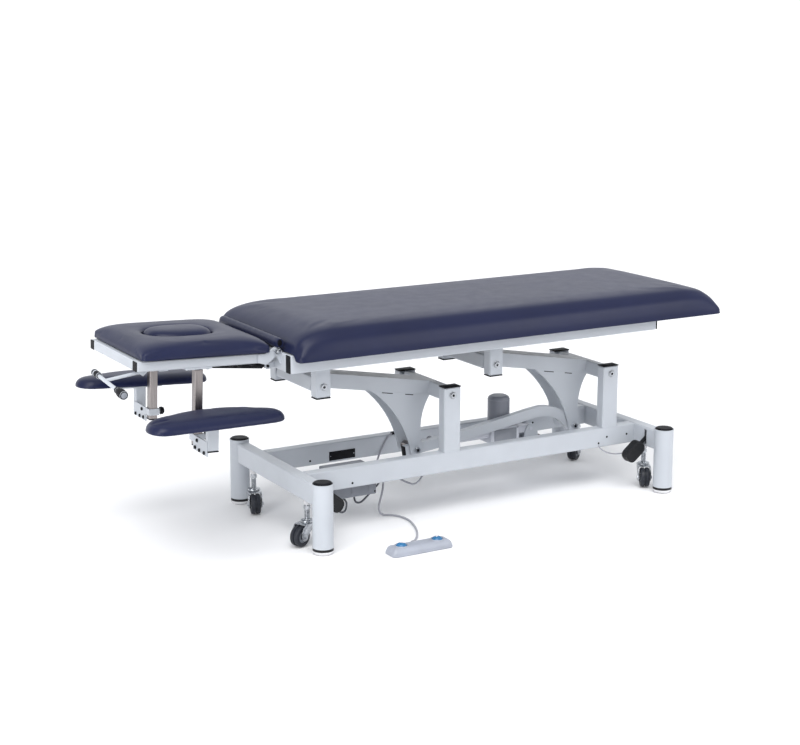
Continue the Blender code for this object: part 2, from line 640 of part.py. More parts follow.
# ---------------------------------------------------------------- head section
def head_frame():
    """Two square rails, cross tubes at both ends, hinge lugs and the gas spring's lugs."""
    rails = []
    bottom = DECK - HEAD_RAIL
    for side in (-1, 1):
        low, high = sorted((side * HEAD_Y, side * (HEAD_Y - HEAD_RAIL)))
        rails.append(box("rail", (HEAD_X0 + CAP_T + GAP, low, bottom), (HEAD_X1, high, DECK), ENAMEL, 0.003,
                         1))
    reach = HEAD_Y - HEAD_RAIL + 0.001
    pieces = rails[1:]
    pieces.append(box("end_tube", (HEAD_X0 + 0.0005, -reach, bottom + 0.0005), (HEAD_X0 + 0.0300, reach,
                                                                                DECK - 0.0005),
                      ENAMEL, 0.003, 1))
    pieces.append(box("hinge_strap", (HEAD_X1 - 0.0300, -reach, DECK - 0.0085), (HEAD_X1 - 0.0005, reach,
                                                                                DECK - 0.0005),
                      ENAMEL, 0.001, 1))
    for side in (-1, 1):
        low, high = sorted((side * (HEAD_Y - 0.0004), side * (HEAD_Y + 0.0056)))
        outline = [(HEAD_X1 - 0.028, bottom + 0.003), (HEAD_X1 - 0.004, bottom - 0.004),
                   (HEAD_X1 + 0.012, bottom + 0.004)]
        outline += arc((HINGE_X, HINGE_Z), 0.0110, -50, 110, 9)
        outline += [(HEAD_X1 - 0.006, DECK - 0.002), (HEAD_X1 - 0.028, DECK - 0.002)]
        pieces.append(flat("hinge_lug", outline, low, high, ENAMEL))
    for y in (SPRING_Y - 0.0125, SPRING_Y + 0.0125):
        low_edge = [(HEAD_X0 + 0.010, bottom + 0.012), (LEVER[0] - 0.009, LEVER[1] - 0.003),
                    (LEVER[0], LEVER[1] - 0.009), (SPRING_HIGH[0], SPRING_HIGH[1] - 0.0095)]
        outline = low_edge + arc(SPRING_HIGH, 0.0095, -60, 80, 7)
        outline += [(SPRING_HIGH[0] - 0.004, DECK - 0.004), (HEAD_X0 + 0.010, DECK - 0.004)]
        pieces.append(flat("spring_lug", outline, y - 0.002, y + 0.002, ENAMEL))
    for side in (-1, 1):
        y = side * DROP_Y
        pieces.append(box("post_flange", (DROP_X - 0.040, y - 0.0135, bottom - 0.0050),
                          (DROP_X + 0.040, y + 0.0135, bottom + 0.0010), ENAMEL, 0.001, 1))
    weld(rails[0], *pieces)
    cutters = [rod("hinge_bore", (HINGE_X, -0.21, HINGE_Z), (HINGE_X, 0.21, HINGE_Z), 0.0055 + GAP, ENAMEL,
                   16)]
    for x, z in (SPRING_HIGH, LEVER):
        cutters.append(rod("pin_bore", (x, SPRING_Y - 0.020, z), (x, SPRING_Y + 0.020, z), 0.0040 + GAP,
                           ENAMEL, 12))
    cut(rails[0], *cutters)
    frame = keep(rails[0], "head_frame", ENAMEL)
    caps = []
    for side, sy in NEAR_FAR:
        low, high = sorted((sy * (HEAD_Y - 0.001), sy * (HEAD_Y - HEAD_RAIL + 0.001)))
        caps.append(box(f"head_cap_{side}", (HEAD_X0, low, bottom + 0.001), (HEAD_X0 + CAP_T, high,
                                                                            DECK - 0.001),
                        BLACK, 0.001, 1))
    return [frame, *rails[1:], *pieces, *cutters, *caps]


def face_outline(grow):
    """Oval of the face hole, a superellipse longer along the couch."""
    points = []
    for i in range(28):
        turn = 2 * math.pi * i / 28
        c = math.cos(turn)
        s = math.sin(turn)
        points.append((-0.963 + (0.104 + grow) * math.copysign(abs(c) ** 0.8, c),
                       (0.074 + grow) * math.copysign(abs(s) ** 0.8, s)))
    return points


def head_cushion():
    """Head pad with an oval face hole, and the soft plug that fills the hole."""
    pad = rounded_box("head_cushion", (-1.150, -0.205, DECK + GAP), (-0.751, 0.205, HEAD_TOP), VINYL,
                      0.020, 3)
    hole = flat("face_hole", face_outline(0.0), DECK - 0.010, HEAD_TOP + 0.020, VINYL, lying=True)
    cut(pad, hole)
    plug = flat("face_plug", face_outline(-0.0012), DECK + 0.012, HEAD_TOP + 0.010, VINYL, lying=True)
    round_edges(plug, 0.007, 2)
    return [pad, hole, plug]


def release_handle():
    """Tee handle whose stem presses the gas spring's valve."""
    y = SPRING_Y
    stem = rod("release_handle", (LEVER[0] - 0.004, y, LEVER[1]), TEE, 0.0048, ENAMEL, 16)
    far = TEE + Vector((0.0, 0.090, 0.006))
    near = TEE + Vector((0.0, -0.145, -0.013))
    bar = rod("bar", far, near, 0.0055, ENAMEL, 16)
    far_grip = rod("far_grip", far - (TEE - far).normalized() * 0.004,
                   far + (TEE - far).normalized() * 0.040, 0.0095, BLACK, 20)
    near_grip = rod("near_grip", near, near + (TEE - near).normalized() * 0.052, 0.0125, BLACK, 20,
                    tip=0.0095)
    hub = rod("hub", (LEVER[0], y - 0.0095, LEVER[1]), (LEVER[0], y + 0.0095, LEVER[1]), 0.0070, ENAMEL, 16)
    pin = rod("pin", (LEVER[0], y - 0.0160, LEVER[1]), (LEVER[0], y + 0.0160, LEVER[1]), 0.0040, ENAMEL, 12)
    pieces = [bar, far_grip, near_grip, hub, pin]
    weld(stem, *pieces)
    return [stem, *pieces]


def gas_spring():
    """Lockable gas spring: its cylinder turns on the top frame, its rod on the head frame."""
    y = SPRING_Y
    low = Vector((SPRING_LOW[0], y, SPRING_LOW[1]))
    raised = Vector(tilted((SPRING_HIGH[0], y, SPRING_HIGH[1])))
    along = (raised - low).normalized()
    body = rod("gas_spring_body", low + along * 0.012, low + along * 0.212, 0.0105, BLACK, 24)
    eye = rod("eye", low - Vector((0, 0.0095, 0)), low + Vector((0, 0.0095, 0)), 0.0085, BLACK, 16)
    neck = rod("neck", low, low + along * 0.014, 0.0055, BLACK, 16)
    pin = rod("pin", low - Vector((0, 0.0190, 0)), low + Vector((0, 0.0190, 0)), 0.0045, ZINC, 12)
    weld(body, eye, neck, pin)
    cut(body, rod("bore", low + along * 0.030, low + along * 0.220, 0.0050 + GAP, BLACK, 16))
    shank = rod("gas_spring_rod", low + along * 0.120, raised, 0.0050, STAINLESS, 16)
    end = rod("rod_eye", raised - Vector((0, 0.0090, 0)), raised + Vector((0, 0.0090, 0)), 0.0080,
              STAINLESS, 16)
    weld(shank, end)
    cut(shank, rod("eye_bore", raised - Vector((0, 0.02, 0)), raised + Vector((0, 0.02, 0)),
                   0.0040 + GAP, STAINLESS, 12))


def armrest(side, sy):
    """Drop armrest: sleeve on the square post, side plate, support tube, pad and clamp knob."""
    y = sy * DROP_Y
    half = DROP_W / 2
    post = box(f"armrest_post_{side}", (DROP_X - half, y - half, 0.345), (DROP_X + half, y + half,
                                                                        DECK - HEAD_RAIL - 0.005 - GAP),
               STAINLESS, 0.002, 1)
    sleeve = box(f"armrest_bracket_{side}", (DROP_X - half - 0.004, y - half - 0.004, 0.358),
                 (DROP_X + half + 0.004, y + half + 0.004, 0.378), ENAMEL)
    inner, outer = sorted((y + sy * half, sy * (PAD_Y + 0.006)))
    plate = box("plate", (DROP_X - half - 0.0044, inner, 0.336), (DROP_X - half - 0.0004, outer, 0.3785),
                ENAMEL)
    inner, outer = sorted((sy * 0.1900, sy * (PAD_Y - 0.009)))
    web = box("web", (DROP_X - half - 0.0042, inner, 0.340), (DROP_X - half + 0.0040, outer, 0.346), ENAMEL)
    tube = box("support", (DROP_X - 0.0155, sy * PAD_Y - 0.011, 0.352), (DROP_X + 0.0175, sy * PAD_Y + 0.011,
                                                                        0.4300), ENAMEL, 0.002, 1)
    saddle = box("saddle", (DROP_X - 0.070, sy * PAD_Y - 0.030, 0.4265), (DROP_X + 0.062, sy * PAD_Y + 0.030,
                                                                        0.4305), ENAMEL)
    boss = rod("boss", (DROP_X + half + 0.002, y, 0.368), (DROP_X + half + 0.0105, y, 0.368), 0.0085,
               ENAMEL, 16)
    weld(sleeve, plate, web, tube, saddle, boss)
    hollow = box("hollow", (DROP_X - half - GAP, y - half - GAP, 0.330), (DROP_X + half + GAP,
                                                                          y + half + GAP, 0.400), ENAMEL)
    thread = rod("thread", (DROP_X, y, 0.368), (DROP_X + half + 0.02, y, 0.368), 0.0034 + GAP, ENAMEL, 12)
    cut(sleeve, hollow, thread)
    knob = turned(f"clamp_knob_{side}",
                  [(0.0, 0.0140), (0.0080, 0.0132), (0.0115, 0.0090), (0.0120, 0.0030), (0.0095, 0.0),
                   (0.0034, -0.0004), (0.0034, -0.0100), (0.0, -0.0100)],
                  (DROP_X + half + 0.0112, y, 0.368), BLACK, axis="X", steps=20)
    pad = armrest_pad(side)
    return [post, sleeve, plate, web, tube, saddle, boss, hollow, thread, knob, pad]


def armrest_pad(side):
    """Padded rest; both sides carry the same hand, its straight edge towards the near side."""
    if side == "near":
        outline = [(-1.140, -0.384), (-0.808, -0.347)]
        outline += bow((-0.782, -0.341), (-0.752, -0.300), (-0.778, -0.240), 6)
        outline += bow((-0.822, -0.213), (-0.945, -0.1905), (-1.066, -0.214), 5)
        outline += bow((-1.114, -0.236), (-1.178, -0.292), (-1.186, -0.350), 5)
        outline += [(-1.166, -0.379)]
    else:
        outline = [(-1.118, 0.250), (-0.798, 0.222)]
        outline += bow((-0.772, 0.228), (-0.750, 0.268), (-0.770, 0.330), 5)
        outline += bow((-0.812, 0.360), (-0.935, 0.390), (-1.064, 0.377), 5)
        outline += bow((-1.122, 0.358), (-1.168, 0.316), (-1.166, 0.282), 5)
        outline += [(-1.146, 0.258)]
    pad = flat(f"armrest_pad_{side}", outline, 0.4310, 0.4620, VINYL, lying=True)
    round_edges(pad, 0.010, 2)
    return pad


def tilted(point):
    """Where a point of the level head section goes when the section is tilted."""
    x, y, z = point
    dx = x - HINGE_X
    dz = z - HINGE_Z
    c = math.cos(HEAD_TILT)
    s = math.sin(HEAD_TILT)
    return (HINGE_X + dx * c + dz * s, y, HINGE_Z - dx * s + dz * c)


def head_section():
    """Everything that tilts with the head, built level and turned about the hinge by its empty."""
    tilt = bpy.data.objects.new("head_tilt", None)
    couch.objects.link(tilt)
    tilt.location = (HINGE_X, 0.0, HINGE_Z)
    tilt.rotation_euler.y = HEAD_TILT
    pieces = head_frame() + head_cushion() + release_handle()
    for side, sy in NEAR_FAR:
        pieces += armrest(side, sy)
    level = Matrix.Translation((-HINGE_X, 0.0, -HINGE_Z))
    for piece in set(pieces):
        piece.parent = tilt
        piece.matrix_parent_inverse = level
    gas_spring()
    for side, sy in NEAR_FAR:
        bolt = rod(f"hinge_bolt_{side}", (HINGE_X, sy * 0.1875, HINGE_Z), (HINGE_X, sy * 0.2045, HINGE_Z),
                   0.0055, ZINC, 16)
        head = rod("head", (HINGE_X, sy * 0.2030, HINGE_Z), (HINGE_X, sy * 0.2090, HINGE_Z), 0.0090, ZINC,
                   20, tip=0.0070)
        weld(bolt, head)


# ---------------------------------------------------------------- foot switch
def foot_switch():
    """Low wedge on the floor with two domed buttons, and its cord from the control box."""
    outline = [(SWITCH_Y - 0.032, 0.0), (SWITCH_Y + 0.032, 0.0), (SWITCH_Y + 0.032, 0.020),
               (SWITCH_Y + 0.024, 0.0255), (SWITCH_Y - 0.020, 0.0235), (SWITCH_Y - 0.032, 0.011)]
    shell = flat("foot_switch", outline, -0.104, 0.104, PALE)
    shell.rotation_euler.z = math.radians(90)
    shell.location = (SWITCH_X, 0.0, 0.0005)
    round_edges(shell, 0.005, 2)
    wells = []
    for end, sx in ENDS:
        x = SWITCH_X + sx * 0.062
        y = SWITCH_Y - 0.001
        wells.append(rod("well", (x, y, 0.0120), (x, y, 0.0400), 0.0180 + 0.0005, PALE, 28))
        turned(f"switch_button_{end}",
               [(0.0, 0.0355), (0.0070, 0.0344), (0.0130, 0.0308), (0.0172, 0.0252), (0.0180, 0.0205),
                (0.0180, 0.0168), (0.0, 0.0168)], (x, y, 0.0), BLUE, steps=28)
    cut(shell, *wells)
    tube_along("switch_cord", CORD, CORD_R, CABLE)


CORD_R = 0.0033
CORD = [(-0.3305, -0.045, 0.150), (-0.316, -0.045, 0.1495), (-0.304, -0.047, 0.143), (-0.297, -0.050, 0.130),
        (-0.296, -0.053, 0.112), (-0.300, -0.056, 0.090), (-0.307, -0.058, 0.066), (-0.314, -0.059, 0.044),
        (-0.318, -0.061, 0.026), (-0.315, -0.064, 0.012), (-0.304, -0.068, 0.0052), (-0.288, -0.075, 0.0040),
        (-0.272, -0.090, 0.0038), (-0.262, -0.115, 0.0038), (-0.260, -0.150, 0.0038),
        (-0.268, -0.190, 0.0038), (-0.282, -0.232, 0.0038), (-0.300, -0.272, 0.0038),
        (-0.322, -0.308, 0.0040), (-0.344, -0.334, 0.0045), (-0.361, -0.352, 0.0080),
        (-0.373, -0.365, 0.0115), (-0.3755, -0.3768, 0.0120)]


# ---------------------------------------------------------------- assembly
base_frame()
post_fittings()
castors()
pedals()
lift()
control_box()
table_frame()
cushions()
head_section()
foot_switch()

for piece in list(couch.objects) + list(operands.objects):
    if piece.parent is None:
        piece.location += Vector((CENTRE_X, CENTRE_Y, 0.0))
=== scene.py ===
"""Looks of the electric treatment couch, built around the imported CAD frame.

Lengths are metres. Design coordinates count from the middle of the base on the floor; at() turns them
into the frame's own coordinates, whose origin is under the middle of the couch's box.
"""
import json
import math

import bmesh
import bpy
from mathutils import Matrix, Vector


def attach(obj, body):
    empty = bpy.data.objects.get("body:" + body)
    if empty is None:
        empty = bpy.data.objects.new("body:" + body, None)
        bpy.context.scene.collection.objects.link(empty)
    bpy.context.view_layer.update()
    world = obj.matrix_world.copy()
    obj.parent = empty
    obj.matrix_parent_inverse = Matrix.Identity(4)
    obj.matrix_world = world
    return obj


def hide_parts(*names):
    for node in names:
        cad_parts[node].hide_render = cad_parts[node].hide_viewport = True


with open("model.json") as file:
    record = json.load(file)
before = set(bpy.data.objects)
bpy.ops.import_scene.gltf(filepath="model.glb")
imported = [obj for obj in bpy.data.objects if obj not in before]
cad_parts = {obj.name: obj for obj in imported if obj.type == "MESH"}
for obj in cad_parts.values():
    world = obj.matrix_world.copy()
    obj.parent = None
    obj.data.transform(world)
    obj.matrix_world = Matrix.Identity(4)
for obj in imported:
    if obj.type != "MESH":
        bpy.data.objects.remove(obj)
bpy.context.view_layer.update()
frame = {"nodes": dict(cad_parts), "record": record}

# ---------------------------------------------------------------- dimensions shared with the CAD
MID_X = 0.19655
MID_Y = 0.02595
POST_X = 0.637
POST_Y = 0.294
POST_TOP = 0.216
RAIL_BOTTOM = 0.143
RAIL_TOP = 0.209
SIDE_Y = 0.16
SIDE_W = 0.038
LIFT_X = -0.1046
LIFT_Z = 0.392
PITCH = 0.6186
ARM = 0.4643
SLOPE = math.radians(10.05)
COLUMN_TOP = 0.416
COLUMN_HALF = 0.0302
COLUMNS = (LIFT_X, LIFT_X + PITCH)
SIDES = (-1, 1)
FRAME_X1 = 0.618
FRAME_Y = 0.259
FRAME_W = 0.028
FRAME_BOTTOM = 0.548
DECK = 0.603
HINGE_X = -0.732
HINGE_Z = 0.61
HEAD_TILT = math.radians(2.3)
DROP_X = -0.971
DROP_Y = 0.173
PAD_Y = 0.28
STEM_Y = 0.19
TRAIL = 0.034
AXLE_Z = 0.034
WHEEL_HALF = 0.0155
SWITCH_X = -0.374
SWITCH_Y = -0.41
HEADING = {("left", "near"): 203, ("left", "far"): 252, ("right", "near"): 240, ("right", "far"): 214}
CAMERA_TURN = 29.86
CAMERA_DOWN = 12.8
NEAR_FAR = (("near", -1), ("far", 1))
ENDS = (("left", -1), ("right", 1))

BOARD_Z = 0.6045
PAD_BOARD_Z = 0.4312
CORD_R = 0.0033
CORD = [(-0.3305, -0.045, 0.15), (-0.316, -0.045, 0.1495), (-0.304, -0.047, 0.143), (-0.297, -0.05, 0.13),
        (-0.296, -0.053, 0.112), (-0.3, -0.056, 0.09), (-0.307, -0.058, 0.066), (-0.314, -0.059, 0.044),
        (-0.318, -0.061, 0.026), (-0.315, -0.064, 0.012), (-0.304, -0.068, 0.0052), (-0.288, -0.075, 0.004),
        (-0.272, -0.09, 0.0038), (-0.262, -0.115, 0.0038), (-0.26, -0.15, 0.0038),
        (-0.268, -0.19, 0.0038), (-0.282, -0.232, 0.0038), (-0.3, -0.272, 0.0038),
        (-0.322, -0.308, 0.004), (-0.344, -0.334, 0.0045), (-0.361, -0.352, 0.008),
        (-0.373, -0.365, 0.0115), (-0.3755, -0.3768, 0.012)]


def at(x, y, z):
    return Vector((x + MID_X, y + MID_Y, z))


def placed(name, data):
    """A new object in the scene that holds the data."""
    made = bpy.data.objects.new(name, data)
    bpy.context.scene.collection.objects.link(made)
    return made


def skin(shape, rings, flip=False):
    """Joins neighbouring closed rings of vertices with faces, and caps the first and last."""
    for lower, upper in zip(rings, rings[1:]):
        for k in range(len(lower)):
            after = (k + 1) % len(lower)
            shape.faces.new((lower[k], lower[after], upper[after], upper[k]))
    shape.faces.new(rings[0] if flip else rings[0][::-1])
    shape.faces.new(rings[-1][::-1] if flip else rings[-1])
    bmesh.ops.recalc_face_normals(shape, faces=shape.faces)


CENTRED = Matrix.Translation((MID_X, MID_Y, 0.0))
TILTED = (CENTRED @ Matrix.Translation((HINGE_X, 0.0, HINGE_Z)) @ Matrix.Rotation(HEAD_TILT, 4, "Y")
          @ Matrix.Translation((-HINGE_X, 0.0, -HINGE_Z)))


# ---------------------------------------------------------------- materials
class Shader:
    """A Principled material whose colour, roughness and bump come from small node chains."""

    def __init__(self, name, colour, roughness, metallic=0.0, **socket_shade):
        self.made = bpy.data.materials.new(name)
        self.made.use_nodes = True
        self.nodes = self.made.node_tree.nodes
        self.links = self.made.node_tree.links
        self.body = self.nodes["Principled BSDF"]
        self.colour = (*colour, 1.0)
        self.body.inputs["Base Color"].default_value = self.colour
        self.body.inputs["Roughness"].default_value = roughness
        self.body.inputs["Metallic"].default_value = metallic
        for socket, value in socket_shade.items():
            self.body.inputs[socket.replace("_", " ")].default_value = value
        self.place = self.nodes.new("ShaderNodeTexCoord").outputs["Object"]
        self.height = None

    def stretch(self, scale):
        node = self.nodes.new("ShaderNodeMapping")
        node.inputs["Scale"].default_value = scale
        self.links.new(self.place, node.inputs["Vector"])
        return node.outputs["Vector"]

    def noise(self, scale, detail=3.0, rough=0.55, stretch=None):
        node = self.nodes.new("ShaderNodeTexNoise")
        node.inputs["Scale"].default_value = scale
        node.inputs["Detail"].default_value = detail
        node.inputs["Roughness"].default_value = rough
        self.links.new(self.place if stretch is None else self.stretch(stretch), node.inputs["Vector"])
        return node.outputs["Fac"]

    def cells(self, scale, feature="F1", stretch=None):
        node = self.nodes.new("ShaderNodeTexVoronoi")
        node.feature = feature
        node.inputs["Scale"].default_value = scale
        self.links.new(self.place if stretch is None else self.stretch(stretch), node.inputs["Vector"])
        return node.outputs["Distance"]

    def remap(self, value, low, high, to_low, to_high):
        node = self.nodes.new("ShaderNodeMapRange")
        node.inputs["From Min"].default_value = low
        node.inputs["From Max"].default_value = high
        node.inputs["To Min"].default_value = to_low
        node.inputs["To Max"].default_value = to_high
        self.links.new(value, node.inputs["Value"])
        return node.outputs["Result"]

    def tint(self, value, low_colour, high_colour):
        """Base colour runs from one colour to another as value goes from 0 to 1."""
        node = self.nodes.new("ShaderNodeMix")
        node.data_type = "RGBA"
        self.links.new(value, node.inputs["Factor"])
        node.inputs["A"].default_value = (*low_colour, 1.0)
        node.inputs["B"].default_value = (*high_colour, 1.0)
        self.links.new(node.outputs["Result"], self.body.inputs["Base Color"])
        return node

    def gloss(self, value, low, high):
        self.links.new(self.remap(value, 0.3, 0.7, low, high), self.body.inputs["Roughness"])

    def relief(self, value, depth, strength=1.0):
        """Adds a bump of that depth in metres on top of the ones before it."""
        node = self.nodes.new("ShaderNodeBump")
        node.inputs["Distance"].default_value = depth
        node.inputs["Strength"].default_value = strength
        self.links.new(value, node.inputs["Height"])
        if self.height is not None:
            self.links.new(self.height, node.inputs["Normal"])
        self.height = node.outputs["Normal"]
        self.links.new(self.height, self.body.inputs["Normal"])

    def along(self, axis):
        """The place's x, y or z, in metres."""
        node = self.nodes.new("ShaderNodeSeparateXYZ")
        self.links.new(self.place, node.inputs["Vector"])
        return node.outputs[axis]


def enamel(name, colour):
    """Powder coat: faint orange peel, a little colour drift and uneven gloss."""
    coat = Shader(name, colour, 0.36, Specular_IOR_Level=0.5)
    drift = coat.noise(7.0, 2.0)
    dim = tuple(c * 0.955 for c in colour)
    coat.tint(coat.remap(drift, 0.35, 0.65, 0.0, 1.0), dim, colour)
    coat.gloss(coat.noise(35.0, 4.0), 0.3, 0.44)
    coat.relief(coat.noise(900.0, 2.0), 0.00004, 0.55)
    coat.relief(coat.noise(160.0, 2.0), 0.0001, 0.25)
    return coat.made


def vinyl(name, colour):
    """Upholstery vinyl: fine leather grain, soft pebbling and a slow drift of colour and sheen."""
    cover = Shader(name, colour, 0.4, Specular_IOR_Level=0.3, Sheen_Weight=0.02, Sheen_Roughness=0.45)
    drift = cover.noise(5.0, 3.0)
    deep = tuple(c * 0.86 for c in colour)
    cover.tint(cover.remap(drift, 0.35, 0.65, 0.0, 1.0), deep, colour)
    cover.gloss(cover.noise(22.0, 5.0), 0.37, 0.42)
    cover.relief(cover.cells(620.0, "DISTANCE_TO_EDGE"), 0.00016, 0.3)
    cover.relief(cover.noise(1500.0, 3.0), 0.00006, 0.3)
    cover.relief(cover.noise(6.0, 1.0), 0.001, 0.1)
    return cover.made


def moulded(name, colour, roughness, grain=1100.0, depth=0.00005, gloss=0.5):
    """Moulded plastic or rubber with a spark-eroded texture."""
    shell = Shader(name, colour, roughness, Specular_IOR_Level=gloss)
    shell.tint(shell.remap(shell.noise(14.0, 3.0), 0.35, 0.65, 0.0, 1.0), tuple(c * 0.88 for c in colour),
               colour)
    shell.gloss(shell.noise(60.0, 4.0), roughness - 0.06, roughness + 0.07)
    shell.relief(shell.noise(grain, 3.0), depth, 0.6)
    return shell.made


def brushed(name, colour, roughness, stretch, depth=0.00003):
    """Drawn or brushed metal: fine lines along one direction over a soft mottling."""
    steel = Shader(name, colour, roughness, 1.0)
    lines = steel.noise(260.0, 4.0, 0.7, stretch)
    steel.tint(steel.remap(lines, 0.3, 0.7, 0.0, 1.0), tuple(c * 0.8 for c in colour), colour)
    steel.gloss(steel.noise(45.0, 4.0, 0.6, stretch), roughness - 0.06, roughness + 0.1)
    steel.relief(lines, depth, 0.35)
    return steel.made


def zinc(name, colour):
    """Zinc plate: bright, with the mottled spangle and a faint blue cast."""
    plate = Shader(name, colour, 0.28, 1.0)
    spangle = plate.cells(160.0)
    plate.tint(plate.remap(spangle, 0.0, 0.7, 0.0, 1.0), tuple(c * 0.72 for c in colour), colour)
    plate.gloss(plate.noise(120.0, 4.0), 0.22, 0.34)
    plate.relief(plate.noise(300.0, 3.0), 0.00002, 0.3)
    return plate.made


def split(name, low, high, height, roughness, band=0.0006):
    """Plastic of two colours that meet at a height, as where a motor stands on its gearbox."""
    shell = Shader(name, low, roughness)
    level = shell.remap(shell.along("Z"), height - band, height + band, 0.0, 1.0)
    mix = shell.tint(level, low, high)
    drift = shell.nodes.new("ShaderNodeMix")
    drift.data_type = "RGBA"
    drift.blend_type = "MULTIPLY"
    drift.inputs["Factor"].default_value = 1.0
    shade = shell.nodes.new("ShaderNodeValToRGB")
    shade.color_ramp.elements[0].color = (0.88, 0.88, 0.88, 1)
    shade.color_ramp.elements[1].color = (1, 1, 1, 1)
    shell.links.new(shell.noise(16.0, 3.0), shade.inputs["Fac"])
    shell.links.new(mix.outputs["Result"], drift.inputs["A"])
    shell.links.new(shade.outputs["Color"], drift.inputs["B"])
    shell.links.new(drift.outputs["Result"], shell.body.inputs["Base Color"])
    shell.gloss(shell.noise(60.0, 4.0), roughness - 0.06, roughness + 0.07)
    shell.relief(shell.noise(900.0, 3.0), 0.00006, 0.6)
    return shell.made


ENAMEL_COLOUR = (0.5, 0.53, 0.575)
NAVY = (0.008, 0.0118, 0.046)
SLOTS = {
    "frame_enamel": enamel("enamel", ENAMEL_COLOUR),
    "navy_vinyl": vinyl("vinyl", NAVY),
    "black_plastic": moulded("black_plastic_look", (0.006, 0.0065, 0.009), 0.52, gloss=0.15),
    "grey_plastic": moulded("grey_plastic_look", (0.22, 0.235, 0.27), 0.48),
    "pale_plastic": moulded("pale_plastic_look", (0.56, 0.59, 0.66), 0.4),
    "blue_button": moulded("blue_button_look", (0.03, 0.165, 0.36), 0.22, 400.0, 0.00002),
    "stainless_steel": brushed("stainless_look", (0.3, 0.275, 0.27), 0.26, (1.0, 1.0, 0.02)),
    "zinc_plate": zinc("zinc_look", (0.47, 0.49, 0.52)),
    "castor_tyre": moulded("tyre_look", (0.018, 0.021, 0.03), 0.5, 700.0, 0.00008, 0.4),
    "black_rubber": moulded("rubber_look", (0.0075, 0.008, 0.01), 0.5, 800.0, 0.00009, 0.35),
    "cable_jacket": moulded("cable_look", (0.36, 0.365, 0.41), 0.46, 1200.0, 0.00003),
}
DARK_CABLE = moulded("dark_cable_look", (0.085, 0.09, 0.11), 0.5, 1200.0, 0.00003)
# Near-black for black parts, and also for the dark discs and strips that paint the shade inside holes,
# sockets and slots.
BLACK_AND_HOLE_SHADE = moulded("black_and_hole_shade_look", (0.004, 0.004, 0.0055), 0.6, 900.0, 0.00004, 0.12)
GLIDE = moulded("glide_look", (0.72, 0.72, 0.74), 0.25, 500.0, 0.00002)
ACTUATOR = split("actuator_look", (0.6, 0.62, 0.68), (0.2, 0.212, 0.25), 0.2165, 0.42)
SWITCH = moulded("switch_look", (0.37, 0.395, 0.46), 0.42)
CLOTH = moulded("dust_cloth_look", (0.016, 0.016, 0.018), 0.85, 2200.0, 0.00012)

NODE_SLOT = {s["node"]: s["material_slot"] for s in frame["record"]["subparts"]}
for node, thing in frame["nodes"].items():
    thing.data.materials.clear()
    thing.data.materials.append(SLOTS[NODE_SLOT[node]])
frame["nodes"]["actuator_housing"].data.materials[0] = ACTUATOR


